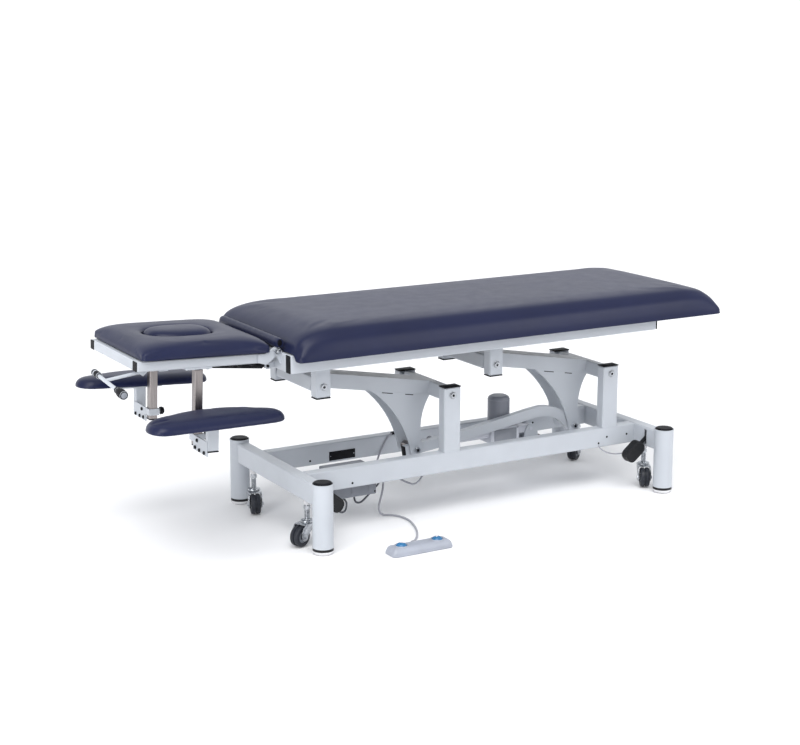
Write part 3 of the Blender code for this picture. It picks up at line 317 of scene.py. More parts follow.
# ---------------------------------------------------------------- piece building
class Piece:
    """A mesh that collects beveled blocks, turned shapes, wires and plates, then rides on a body."""

    def __init__(self, name, body, slot, turn=CENTRED):
        self.name = name
        self.body = body
        self.slot = slot
        self.turn = turn
        self.mesh = bmesh.new()

    def add(self, other, turn=None):
        if turn is not None:
            bmesh.ops.transform(other, matrix=turn, verts=other.verts)
        data = bpy.data.meshes.new("part")
        other.to_mesh(data)
        other.free()
        self.mesh.from_mesh(data)
        bpy.data.meshes.remove(data)
        return self

    def block(self, low, high, edge=0.001, segments=2, turn=None):
        low = Vector(low)
        high = Vector(high)
        shape = bmesh.new()
        bmesh.ops.create_cube(shape, size=1.0)
        size = Matrix.Diagonal((*(high - low), 1.0))
        bmesh.ops.transform(shape, matrix=Matrix.Translation((low + high) / 2) @ size, verts=shape.verts)
        if edge:
            bmesh.ops.bevel(shape, geom=shape.edges, offset=edge, segments=segments, profile=0.5,
                            affect="EDGES")
        return self.add(shape, turn)

    def spin(self, profile, place, axis=(0, 0, 1), steps=32, turn=None):
        """Solid of revolution about axis through place; profile is (radius, height) pairs."""
        shape = bmesh.new()
        rings = []
        for radius, height in profile:
            if radius < 1e-7:
                rings.append([shape.verts.new((0.0, 0.0, height))])
            else:
                rings.append([shape.verts.new((radius * math.cos(2 * math.pi * k / steps),
                                               radius * math.sin(2 * math.pi * k / steps), height))
                              for k in range(steps)])
        for lower, upper in zip(rings, rings[1:]):
            for k in range(steps):
                after = (k + 1) % steps
                corners = [lower[k % len(lower)], lower[after % len(lower)], upper[after % len(upper)],
                           upper[k % len(upper)]]
                kept = []
                for corner in corners:
                    if corner not in kept:
                        kept.append(corner)
                if len(kept) > 2:
                    shape.faces.new(kept)
        bmesh.ops.recalc_face_normals(shape, faces=shape.faces)
        aim = Vector(axis).to_track_quat("Z", "Y").to_matrix().to_4x4()
        own = Matrix.Translation(Vector(place)) @ aim
        return self.add(shape, own if turn is None else turn @ own)

    def wire(self, points, radius, sides=10, closed=False, flat=1.0):
        """Round bar along points; flat below 1 squeezes it across."""
        points = [Vector(p) for p in points]
        count = len(points)
        shape = bmesh.new()
        rings = []
        up = None
        for i, point in enumerate(points):
            ahead = points[(i + 1) % count] if closed else points[min(i + 1, count - 1)]
            behind = points[i - 1] if closed or i else points[0]
            way = (ahead - behind).normalized()
            if up is None:
                up = way.orthogonal().normalized()
            up = (up - way * up.dot(way)).normalized()
            side = way.cross(up)
            size = radius(i / (count - 1)) if callable(radius) else radius
            rings.append([shape.verts.new(point + up * math.cos(2 * math.pi * k / sides) * size
                                          + side * math.sin(2 * math.pi * k / sides) * size * flat)
                          for k in range(sides)])
        spans = list(zip(rings, rings[1:]))
        if closed:
            spans.append((rings[-1], rings[0]))
        for a, b in spans:
            for k in range(sides):
                shape.faces.new((a[k], a[(k + 1) % sides], b[(k + 1) % sides], b[k]))
        if not closed:
            shape.faces.new(rings[0][::-1])
            shape.faces.new(rings[-1])
        bmesh.ops.recalc_face_normals(shape, faces=shape.faces)
        return self.add(shape)

    def plate(self, outline, low, high, edge=0.0, flat_axis="Z", turn=None):
        """Extruded outline between two heights, its rim rounded."""
        shape = bmesh.new()
        if flat_axis == "Z":
            corners = [(x, y, low) for x, y in outline]
            push = Vector((0, 0, high - low))
        else:
            corners = [(x, low, z) for x, z in outline]
            push = Vector((0, high - low, 0))
        face = shape.faces.new([shape.verts.new(c) for c in corners])
        grown = bmesh.ops.extrude_face_region(shape, geom=[face])
        bmesh.ops.translate(shape, vec=push, verts=[v for v in grown["geom"]
                                                    if isinstance(v, bmesh.types.BMVert)])
        bmesh.ops.recalc_face_normals(shape, faces=shape.faces)
        if edge:
            rim = [e for e in shape.edges if len(e.link_faces) == 2 and e.calc_face_angle(0) > 0.9]
            bmesh.ops.bevel(shape, geom=rim, offset=edge, segments=2, profile=0.5, affect="EDGES")
        return self.add(shape, turn)

    def done(self, material=None, replaces=(), smooth=38):
        bmesh.ops.transform(self.mesh, matrix=self.turn, verts=self.mesh.verts)
        data = bpy.data.meshes.new(self.name)
        limit = math.radians(smooth)
        for face in self.mesh.faces:
            face.smooth = True
        for edge in self.mesh.edges:
            edge.smooth = len(edge.link_faces) == 2 and edge.calc_face_angle(0.0) < limit
        self.mesh.to_mesh(data)
        self.mesh.free()
        made = placed(self.name, data)
        data.materials.append(SLOTS[self.slot] if material is None else material)
        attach(made, self.body)
        if replaces:
            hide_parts(*replaces)
        return made


def smooth_path(points, count):
    """Catmull-Rom curve through the points, resampled to even steps."""
    points = [Vector(p) for p in points]
    ends = [points[0] * 2 - points[1], *points, points[-1] * 2 - points[-2]]
    dense = []
    for i in range(1, len(ends) - 2):
        a, b, c, d = ends[i - 1:i + 3]
        for k in range(12):
            t = k / 12
            dense.append(0.5 * (2 * b + (c - a) * t + (2 * a - 5 * b + 4 * c - d) * t * t
                                + (3 * b - a - 3 * c + d) * t ** 3))
    dense.append(points[-1])
    total = sum((q - p).length for p, q in zip(dense, dense[1:]))
    even = [dense[0]]
    walked = 0.0
    step = total / (count - 1)
    for p, q in zip(dense, dense[1:]):
        gap = (q - p).length
        while walked + gap >= step * len(even) and len(even) < count - 1:
            even.append(p.lerp(q, (step * len(even) - walked) / gap))
        walked += gap
    even.append(dense[-1])
    return even


def length_of(points):
    return sum((Vector(q) - Vector(p)).length for p, q in zip(points, points[1:]))


def ring_arc(centre, radius, start, end, count):
    turn = [math.radians(start + (end - start) * i / (count - 1)) for i in range(count)]
    return [(centre[0] + radius * math.cos(a), centre[1] + radius * math.sin(a)) for a in turn]


def bow(start, through, end, count):
    """Points of the circular arc through three points."""
    ax, az = start
    bx, bz = through
    cx, cz = end
    d = 2 * (ax * (bz - cz) + bx * (cz - az) + cx * (az - bz))
    ux = ((ax**2 + az**2) * (bz - cz) + (bx**2 + bz**2) * (cz - az) + (cx**2 + cz**2) * (az - bz)) / d
    uz = ((ax**2 + az**2) * (cx - bx) + (bx**2 + bz**2) * (ax - cx) + (cx**2 + cz**2) * (bx - ax)) / d
    radius = math.hypot(ax - ux, az - uz)
    first = math.degrees(math.atan2(az - uz, ax - ux))
    last = math.degrees(math.atan2(cz - uz, cx - ux))
    sweep = (last - first + 180) % 360 - 180
    return ring_arc((ux, uz), radius, first, first + sweep, count)


def rounded_rectangle(x0, y0, x1, y1, radius, steps=8):
    points = []
    for cx, cy, start in ((x1 - radius, y1 - radius, 0), (x0 + radius, y1 - radius, 90),
                          (x0 + radius, y0 + radius, 180), (x1 - radius, y0 + radius, 270)):
        points += ring_arc((cx, cy), radius, start, start + 90, steps)
    return points


# ---------------------------------------------------------------- upholstery
def inward(outline, distance):
    """The outline moved in by a distance along its own normals (counter-clockwise outlines)."""
    moved = []
    count = len(outline)
    for i in range(count):
        a = Vector(outline[i - 1])
        b = Vector(outline[i])
        c = Vector(outline[(i + 1) % count])
        way = ((b - a).normalized() + (c - b).normalized()).normalized()
        moved.append(tuple(b + Vector((-way.y, way.x)) * distance))
    return moved


def counter_clockwise(outline):
    area = sum(ax * by - bx * ay for (ax, ay), (bx, by) in zip(outline, outline[1:] + outline[:1]))
    return outline if area > 0 else outline[::-1]


def even_outline(outline, step, softer):
    """The outline cut into even steps, its corners eased."""
    dense = []
    for (ax, ay), (bx, by) in zip(outline, outline[1:] + outline[:1]):
        pieces = max(1, round(math.hypot(bx - ax, by - ay) / step))
        dense += [(ax + (bx - ax) * k / pieces, ay + (by - ay) * k / pieces) for k in range(pieces)]
    for again in range(softer):
        count = len(dense)
        dense = [((dense[i - 1][0] + 2 * dense[i][0] + dense[(i + 1) % count][0]) / 4,
                  (dense[i - 1][1] + 2 * dense[i][1] + dense[(i + 1) % count][1]) / 4) for i in range(count)]
    return dense


def slab(outline, low, high, hem=0.004):
    """Closed slab with a tucked-in lower edge, ready for the top to be drawn down at its edges."""
    levels = ((hem, low), (hem * 0.4, low + hem * 0.4), (0.0, low + hem * 1.2), (0.0, high))
    mesh = bmesh.new()
    rings = [[mesh.verts.new((x, y, height)) for x, y in inward(outline, inset)] for inset, height in levels]
    skin(mesh, rings)
    return mesh


def roll(distance, width, power=2.4):
    """How far the cover has risen at a distance from the pad's edge: 0 at the edge, 1 past the roll."""
    if distance >= width:
        return 1.0
    return (1.0 - (1.0 - max(0.0, distance) / width) ** power) ** (1.0 / power)


def edge_distance(outline):
    """A function that gives the distance from the outline, from inside it."""
    runs = list(zip(outline, outline[1:] + outline[:1]))

    def measure(x, y):
        best = 1.0
        for (ax, ay), (bx, by) in runs:
            dx = bx - ax
            dy = by - ay
            t = max(0.0, min(1.0, ((x - ax) * dx + (y - ay) * dy) / (dx * dx + dy * dy)))
            best = min(best, math.hypot(x - ax - dx * t, y - ay - dy * t))
        return best
    return measure


def soft(name, mesh, turn, voxel, low, draw, pressure, cap, hold=None, rim=None):
    """Remeshes a closed slab, draws its top down at the edges, inflates it as cloth and returns it.

    draw gives the share of the slab's height that is left above a point of the plan.
    """
    data = bpy.data.meshes.new(name)
    mesh.to_mesh(data)
    mesh.free()
    made = placed(name, data)
    remesh = made.modifiers.new("skin", "REMESH")
    remesh.mode = "VOXEL"
    remesh.voxel_size = voxel
    bake(made)
    for vertex in made.data.vertices:
        vertex.co.z = low + (vertex.co.z - low) * draw(vertex.co.x, vertex.co.y)
    ease(made.data, low + 0.0045, 6)
    if rim:
        for vertex in made.data.vertices:
            span = 1 - 0.75 * min(1.0, max(0.0, vertex.co.z - low) / 0.045)
            vertex.co.z -= rim(vertex.co.x, vertex.co.y) * span
    start = [v.co.copy() for v in made.data.vertices]
    held = made.vertex_groups.new(name="held")
    held.add([v.index for v in made.data.vertices if v.co.z < low + 0.0035 or (hold and hold(v.co))],
             1.0, "ADD")
    cloth = made.modifiers.new("cloth", "CLOTH")
    cloth.settings.quality = 4
    cloth.settings.mass = 0.25
    cloth.settings.tension_stiffness = 18
    cloth.settings.compression_stiffness = 18
    cloth.settings.shear_stiffness = 8
    cloth.settings.bending_stiffness = 2.0
    cloth.settings.use_pressure = True
    cloth.settings.uniform_pressure_force = pressure
    cloth.settings.effector_weights.gravity = 0.0
    cloth.settings.vertex_group_mass = "held"
    cloth.collision_settings.use_collision = False
    for step in range(1, 21):
        bpy.context.scene.frame_set(step)
    bake(made)
    bpy.context.scene.frame_set(1)
    for vertex, origin in zip(made.data.vertices, start):
        move = vertex.co - origin
        if move.length > cap:
            move *= cap / move.length
        vertex.co = origin + move
    made.vertex_groups.clear()
    for face in made.data.polygons:
        face.use_smooth = True
    made.data.transform(turn)
    made.data.materials.append(SLOTS["navy_vinyl"])
    return made


def ease(data, above, times):
    """Evens out the voxel steps of everything above a height."""
    shape = bmesh.new()
    shape.from_mesh(data)
    free = [v for v in shape.verts if v.co.z > above]
    for again in range(times):
        bmesh.ops.smooth_vert(shape, verts=free, factor=0.5, use_axis_x=True, use_axis_y=True,
                              use_axis_z=True)
    shape.to_mesh(data)
    shape.free()


def bake(obj):
    """Replaces the object's mesh with what its modifiers make of it."""
    bpy.context.view_layer.update()
    shape = obj.evaluated_get(bpy.context.evaluated_depsgraph_get())
    data = bpy.data.meshes.new_from_object(shape)
    old = obj.data
    obj.modifiers.clear()
    obj.data = data
    bpy.data.meshes.remove(old)
    data.name = obj.name


def upholster(made, body, nodes, levels=1):
    if levels:
        finer = made.modifiers.new("finer", "SUBSURF")
        finer.levels = levels
        finer.render_levels = levels
    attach(made, body)
    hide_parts(*nodes)
    return made


def body_cushion():
    """Long cushion whose cover is drawn down to a padded rim that hangs outside the frame."""
    outline = rounded_rectangle(-0.7105, -0.3035, 0.8585, 0.3035, 0.016, 5)

    def draw(x, y):
        ends = roll(min(x + 0.7105, 0.8585 - x), 0.16)
        sides = roll(0.3035 - abs(y), 0.085)
        across = 1 - (y / 0.3) ** 2
        return (0.08 + 0.92 * ends * sides) * (0.975 + 0.025 * max(0.0, across))

    def rim(x, y):
        reach = max((abs(y) - 0.262) / 0.016, (x - 0.8) / 0.03)
        reach = max(0.0, min(1.0, reach))
        return 0.019 * reach * reach * (3 - 2 * reach)

    made = soft("body_cushion_cover", slab(outline, BOARD_Z, 0.6795), CENTRED, 0.008, BOARD_Z, draw,
                3.0, 0.002, rim=rim)
    upholster(made, "table", ["body_cushion"])


def gap_strip():
    """Vinyl flap that is folded over a flexible core to close the gap above the hinge."""
    strip = Piece("gap_strip_cover", "table", "navy_vinyl")
    profile = [(-0.7379, 0.6222), (-0.7384, 0.63), (-0.7368, 0.6385), (-0.7325, 0.6448), (-0.7262, 0.6474),
               (-0.72, 0.6458), (-0.7155, 0.6405), (-0.7143, 0.632), (-0.7146, 0.6225), (-0.718, 0.6217),
               (-0.726, 0.6215), (-0.7345, 0.6217)]
    shape = bmesh.new()
    rings = []
    for k in range(41):
        y = -0.2045 + 0.409 * k / 40
        end = min(1.0, (1 - abs(y) / 0.2052) * 26)
        puff = 0.93 + 0.07 * end + 0.006 * math.sin(k * 1.7)
        rings.append([shape.verts.new((-0.7262 + (x + 0.7262) * puff, y, 0.6215 + (z - 0.6215) * puff))
                      for x, z in profile])
    skin(shape, rings, flip=True)
    strip.add(shape)
    made = strip.done(replaces=["gap_pad"], smooth=60)
    core = Piece("gap_strip_core", "table", "black_plastic")
    for side in SIDES:
        y = side * 0.2046
        low, high = sorted((y, y + side * 0.0008))
        oval = [(-0.7262 + 0.0072 * math.cos(a), 0.633 + 0.0098 * math.sin(a))
                for a in [2 * math.pi * k / 20 for k in range(20)]]
        core.plate(oval, low, high, 0.0002, "Y")
    core.done(BLACK_AND_HOLE_SHADE)


def face_oval(grow, count=44):
    points = []
    for i in range(count):
        turn = 2 * math.pi * i / count
        c = math.cos(turn)
        s = math.sin(turn)
        points.append((-0.963 + (0.104 + grow) * math.copysign(abs(c) ** 0.8, c),
                       (0.074 + grow) * math.copysign(abs(s) ** 0.8, s)))
    return points


def head_cushion():
    """Head pad with its face hole, whose rim rolls into the hole, and the pillowed plug."""
    outline = rounded_rectangle(-1.1492, -0.2042, -0.7518, 0.2042, 0.014, 5)
    pad = slab(outline, BOARD_Z, 0.6498)
    holder = bpy.data.meshes.new("pad")
    pad.to_mesh(holder)
    pad.free()
    body = placed("pad", holder)
    hole = bmesh.new()
    rings = [[hole.verts.new((x, y, height)) for x, y in face_oval(0.0012)] for height in (0.59, 0.67)]
    skin(hole, rings)
    tool_mesh = bpy.data.meshes.new("tool")
    hole.to_mesh(tool_mesh)
    hole.free()
    tool = placed("tool", tool_mesh)
    cut = body.modifiers.new("hole", "BOOLEAN")
    cut.operation = "DIFFERENCE"
    cut.solver = "EXACT"
    cut.object = tool
    bake(body)
    bpy.data.objects.remove(tool, do_unlink=True)
    shaped = bmesh.new()
    shaped.from_mesh(body.data)
    bpy.data.objects.remove(body, do_unlink=True)
    rim = edge_distance(face_oval(0.0012))

    def draw(x, y):
        ends = roll(min(x + 1.1492, -0.7518 - x), 0.095)
        sides = roll(0.2042 - abs(y), 0.085)
        lip = roll(rim(x, y) + 0.0015, 0.024)
        return (0.36 + 0.64 * ends * sides) * (0.8 + 0.2 * lip)

    def in_hole(p):
        return abs((p.x + 0.963) / 0.108) ** 2.5 + abs(p.y / 0.078) ** 2.5 < 1.0

    made = soft("head_cushion_cover", shaped, TILTED, 0.0045, BOARD_Z, draw, 3.0, 0.0018, in_hole)
    upholster(made, "head", ["head_cushion"])

    plug_outline = face_oval(-0.003)
    plug_rim = edge_distance(plug_outline)

    def dome(x, y):
        return 0.52 + 0.48 * roll(plug_rim(x, y), 0.052)

    made = soft("face_plug_cover", slab(plug_outline, 0.6155, 0.66, 0.003), TILTED, 0.004, 0.6155, dome,
                3.0, 0.0012)
    upholster(made, "face_plug", ["face_plug"])


def armrest_outline(side):
    if side == "near":
        outline = [(-1.14, -0.384), (-0.808, -0.347)]
        outline += bow((-0.782, -0.341), (-0.752, -0.3), (-0.778, -0.24), 12)
        outline += bow((-0.822, -0.213), (-0.945, -0.1905), (-1.066, -0.214), 12)
        outline += bow((-1.114, -0.236), (-1.178, -0.292), (-1.186, -0.35), 12)
        outline += [(-1.166, -0.379)]
    else:
        outline = [(-1.118, 0.25), (-0.798, 0.222)]
        outline += bow((-0.772, 0.228), (-0.75, 0.268), (-0.77, 0.33), 12)
        outline += bow((-0.812, 0.36), (-0.935, 0.39), (-1.064, 0.377), 12)
        outline += bow((-1.122, 0.358), (-1.168, 0.316), (-1.166, 0.282), 12)
        outline += [(-1.146, 0.258)]
    return counter_clockwise(even_outline(outline, 0.01, 3))


def armrest_pad(side):
    """Bowed armrest pad with a rolled upper edge."""
    outline = inward(armrest_outline(side), 0.001)
    rim = edge_distance(outline)

    def draw(x, y):
        return 0.3 + 0.7 * roll(rim(x, y), 0.058)

    made = soft(f"armrest_cover_{side}", slab(outline, PAD_BOARD_Z, 0.4615, 0.003), TILTED, 0.0045,
                PAD_BOARD_Z, draw, 3.0, 0.0014)
    upholster(made, f"armrest_{side}", [f"armrest_pad_{side}"])
    board = Piece(f"armrest_board_{side}", f"armrest_{side}", "black_plastic", TILTED)
    board.plate(inward(outline, 0.012), 0.4306, 0.4316, 0.0)
    board.done(CLOTH)


def under_covers():
    """Black dust cloth and its staples under the two cushions."""
    cloth = Piece("dust_cloth_body", "table", "black_plastic")
    cloth.plate(rounded_rectangle(-0.7, -0.262, 0.8, 0.262, 0.03), 0.6036, 0.6047)
    cloth.done(CLOTH)
    cloth = Piece("dust_cloth_head", "head", "black_plastic", TILTED)
    outer = rounded_rectangle(-1.14, -0.196, -0.761, 0.196, 0.03)
    ring = bmesh.new()
    inner = face_oval(0.006, len(outer))
    rim = sorted(inner, key=lambda p: math.atan2(p[1], p[0] + 0.963) % (2 * math.pi))
    edge = sorted(outer, key=lambda p: math.atan2(p[1], p[0] + 0.963) % (2 * math.pi))
    a = [ring.verts.new((x, y, 0.6036)) for x, y in edge]
    b = [ring.verts.new((x, y, 0.6036)) for x, y in rim]
    for k in range(len(a)):
        ring.faces.new((a[k], b[k], b[(k + 1) % len(a)], a[(k + 1) % len(a)]))
    cloth.add(ring)
    cloth.done(CLOTH)
    staples = Piece("staples_body", "table", "zinc_plate")
    for k in range(44):
        x = -0.66 + 1.43 * k / 43
        for y in (-0.2605, 0.2605):
            staples.block((x - 0.0055, y - 0.0005, 0.603), (x + 0.0055, y + 0.0005, 0.6037), 0.0002, 1)
    for k in range(14):
        y = -0.235 + 0.47 * k / 13
        for x in (-0.689, 0.793):
            staples.block((x - 0.0005, y - 0.0055, 0.603), (x + 0.0005, y + 0.0055, 0.6037), 0.0002, 1)
    staples.done()


# ---------------------------------------------------------------- metalwork details
def beam_point(out, up, foot):
    return (foot - out * math.cos(SLOPE) + up * math.sin(SLOPE),
            LIFT_Z + out * math.sin(SLOPE) + up * math.cos(SLOPE))


def tube_plugs():
    """Black plastic plugs in the open ends of the square tubes."""
    plugs = Piece("column_plugs", "base", "black_plastic")
    for x in COLUMNS:
        for side in SIDES:
            low, high = sorted((side * (SIDE_Y - SIDE_W + 0.0003), side * (SIDE_Y - 0.0003)))
            plugs.block((x - COLUMN_HALF, low, COLUMN_TOP + 0.0002),
                        (x + COLUMN_HALF, high, COLUMN_TOP + 0.0042), 0.0012)
            plugs.block((x - 0.0225, low + 0.0075, COLUMN_TOP + 0.003),
                        (x + 0.0225, high - 0.0075, COLUMN_TOP + 0.0048), 0.0008)
    plugs.done()
    plugs = Piece("hanger_plugs", "table", "black_plastic")
    hang_x, hang_z = beam_point(ARM, 0.0, LIFT_X)
    for shift in (0.0, PITCH):
        x = hang_x + shift
        for side in SIDES:
            low, high = sorted((side * 0.1238, side * 0.1612))
            plugs.block((x - 0.0243, low, hang_z - 0.038), (x + 0.0243, high, hang_z - 0.0342), 0.0011)
    for side in SIDES:
        low, high = sorted((side * (FRAME_Y - 0.0008), side * (FRAME_Y - FRAME_W + 0.0008)))
        plugs.block((FRAME_X1 + 0.0002, low, FRAME_BOTTOM + 0.001), (FRAME_X1 + 0.0036, high, DECK - 0.001),
                    0.001)
    plugs.done()
    for side, sy in NEAR_FAR:
        plug = Piece(f"armrest_plug_{side}", f"armrest_{side}", "black_plastic", TILTED)
        plug.block((DROP_X - 0.0157, sy * PAD_Y - 0.0112, 0.348), (DROP_X + 0.0177, sy * PAD_Y + 0.0112,
                                                                   0.3519), 0.001)
        plug.done()
        plug = Piece(f"post_plug_{side}", "head", "black_plastic", TILTED)
        plug.block((DROP_X - 0.0123, sy * DROP_Y - 0.0123, 0.3425), (DROP_X + 0.0123, sy * DROP_Y + 0.0123,
                                                                    0.3449), 0.0008)
        plug.done()
    plug = Piece("tie_link_plug", "tie_link", "black_plastic")
    turn = Matrix.Translation((-0.2042, 0.0, 0.1913)) @ Matrix.Rotation(math.radians(-8.5), 4, "Y")
    plug.block((-0.0032, -0.0362, -0.0172), (0.0002, -0.0138, 0.0172), 0.0008, 2, turn)
    plug.done()


def bead(piece, corners, radius=0.0017, closed=False):
    """Weld bead along straight runs, slightly rippled."""
    path = []
    corners = [Vector(c) for c in corners]
    runs = list(zip(corners, corners[1:] + corners[:1])) if closed else list(zip(corners, corners[1:]))
    for a, b in runs:
        count = max(2, int((b - a).length / 0.004))
        path += [a.lerp(b, k / count) for k in range(count)]
    if not closed:
        path.append(corners[-1])
    ripple = [p + Vector((0.0001 * math.sin(i * 2.1), 0.0001 * math.cos(i * 1.7), 0.0)) for i, p in
              enumerate(path)]
    piece.wire(ripple, lambda t: radius * (1 + 0.1 * math.sin(t * len(path) * 2.3)), 6, closed)


def box_line(x, half, low, high, z):
    """Corners of the line that a square tube makes on a level face."""
    return [(x - half, low, z), (x + half, low, z), (x + half, high, z), (x - half, high, z)]


def welds():
    """Beads where the base tubes, columns and hangers meet."""
    seam = Piece("base_welds", "base", "frame_enamel")
    for x in COLUMNS:
        for side in SIDES:
            low, high = sorted((side * (SIDE_Y - SIDE_W + 0.001), side * (SIDE_Y - 0.001)))
            z = RAIL_TOP + 0.0001
            bead(seam, box_line(x, COLUMN_HALF, low, high, z), 0.0016, True)
    for end in SIDES:
        inner = end * (POST_X - 0.02)
        for side in SIDES:
            low, high = sorted((side * (SIDE_Y - SIDE_W), side * SIDE_Y))
            bead(seam, [(inner, low, RAIL_BOTTOM + 0.002), (inner, low, RAIL_TOP - 0.002)])
            bead(seam, [(inner, high, RAIL_BOTTOM + 0.002), (inner, high, RAIL_TOP - 0.002)])
            y = side * POST_Y
            reach = side * (POST_Y - 0.0247)
            for edge in SIDES:
                x = end * POST_X + edge * 0.0199
                bead(seam, [(x, reach, RAIL_BOTTOM + 0.004), (x, reach, RAIL_TOP - 0.004)], 0.0018)
    seam.done()
    seam = Piece("table_welds", "table", "frame_enamel")
    hang_x = beam_point(ARM, 0.0, LIFT_X)[0]
    for shift in (0.0, PITCH):
        x = hang_x + shift
        for side in SIDES:
            low, high = sorted((side * 0.1235, side * 0.1615))
            z = FRAME_BOTTOM + 0.0006
            bead(seam, box_line(x, 0.0245, low, high, z), 0.0015, True)
        for side in SIDES:
            y = side * (FRAME_Y - FRAME_W)
            for edge in (-0.03, 0.03):
                bead(seam, [(x + edge, y, FRAME_BOTTOM + 0.004), (x + edge, y, DECK - 0.004)], 0.0015)
    seam.done()
    for end, foot in (("left", LIFT_X), ("right", LIFT_X + PITCH)):
        seam = Piece(f"arm_welds_{end}", f"arm_{end}", "frame_enamel")
        for side in SIDES:
            y = side * 0.0447
            path = [beam_point(0.03 + 0.19 * k / 8, -0.0226, foot) for k in range(9)]
            bead(seam, [(x, side * 0.044, z) for x, z in path], 0.0015)
            for out in (0.0225, ARM - 0.0225):
                a = beam_point(out, -0.019, foot)
                b = beam_point(out, 0.019, foot)
                bead(seam, [(a[0], y, a[1]), (b[0], y, b[1])], 0.0014)
        seam.done()
        # Thin dark strips on the arm sides that paint the shade inside the slots.
        slot_shade = Piece(f"arm_slot_shade_{end}", f"arm_{end}", "black_plastic")
        tilt = Matrix.Rotation(SLOPE, 4, "Y")
        for side in SIDES:
            for out, half in ((0.169, 0.02), (0.088, 0.015)):
                x, z = beam_point(out, -0.0265, foot)
                low, high = sorted((side * 0.0432, side * 0.0437))
                slot_shade.block((-half, low, -0.0014), (half, high, 0.0014), 0.0002, 1,
                            Matrix.Translation((x, 0, z)) @ tilt)
        slot_shade.done(BLACK_AND_HOLE_SHADE)


def disc(radius):
    """Profile of a thin disc, laid as a dark sheet that paints the shade at the bottom of a hole or socket.
    """
    return [(0.0, 0.0), (radius, 0.0), (radius, 0.0004), (0.0, 0.0004)]


def washer_and_socket(piece, socket_shade, x, z, y, side, radius=0.0125):
    """Washer under a domed screw head, with a dark hexagon disc that paints the shade in the head's socket.
    """
    piece.spin([(0.0072, 0.0), (radius - 0.0006, 0.0), (radius, 0.0005), (radius, 0.001),
                (radius - 0.0006, 0.0014), (0.0072, 0.0014), (0.0072, 0.0)], (x, side * y, z), (0, side, 0))
    socket_shade.spin(disc(0.0046), (x, side * (y + 0.0044), z), (0, side, 0), 6)


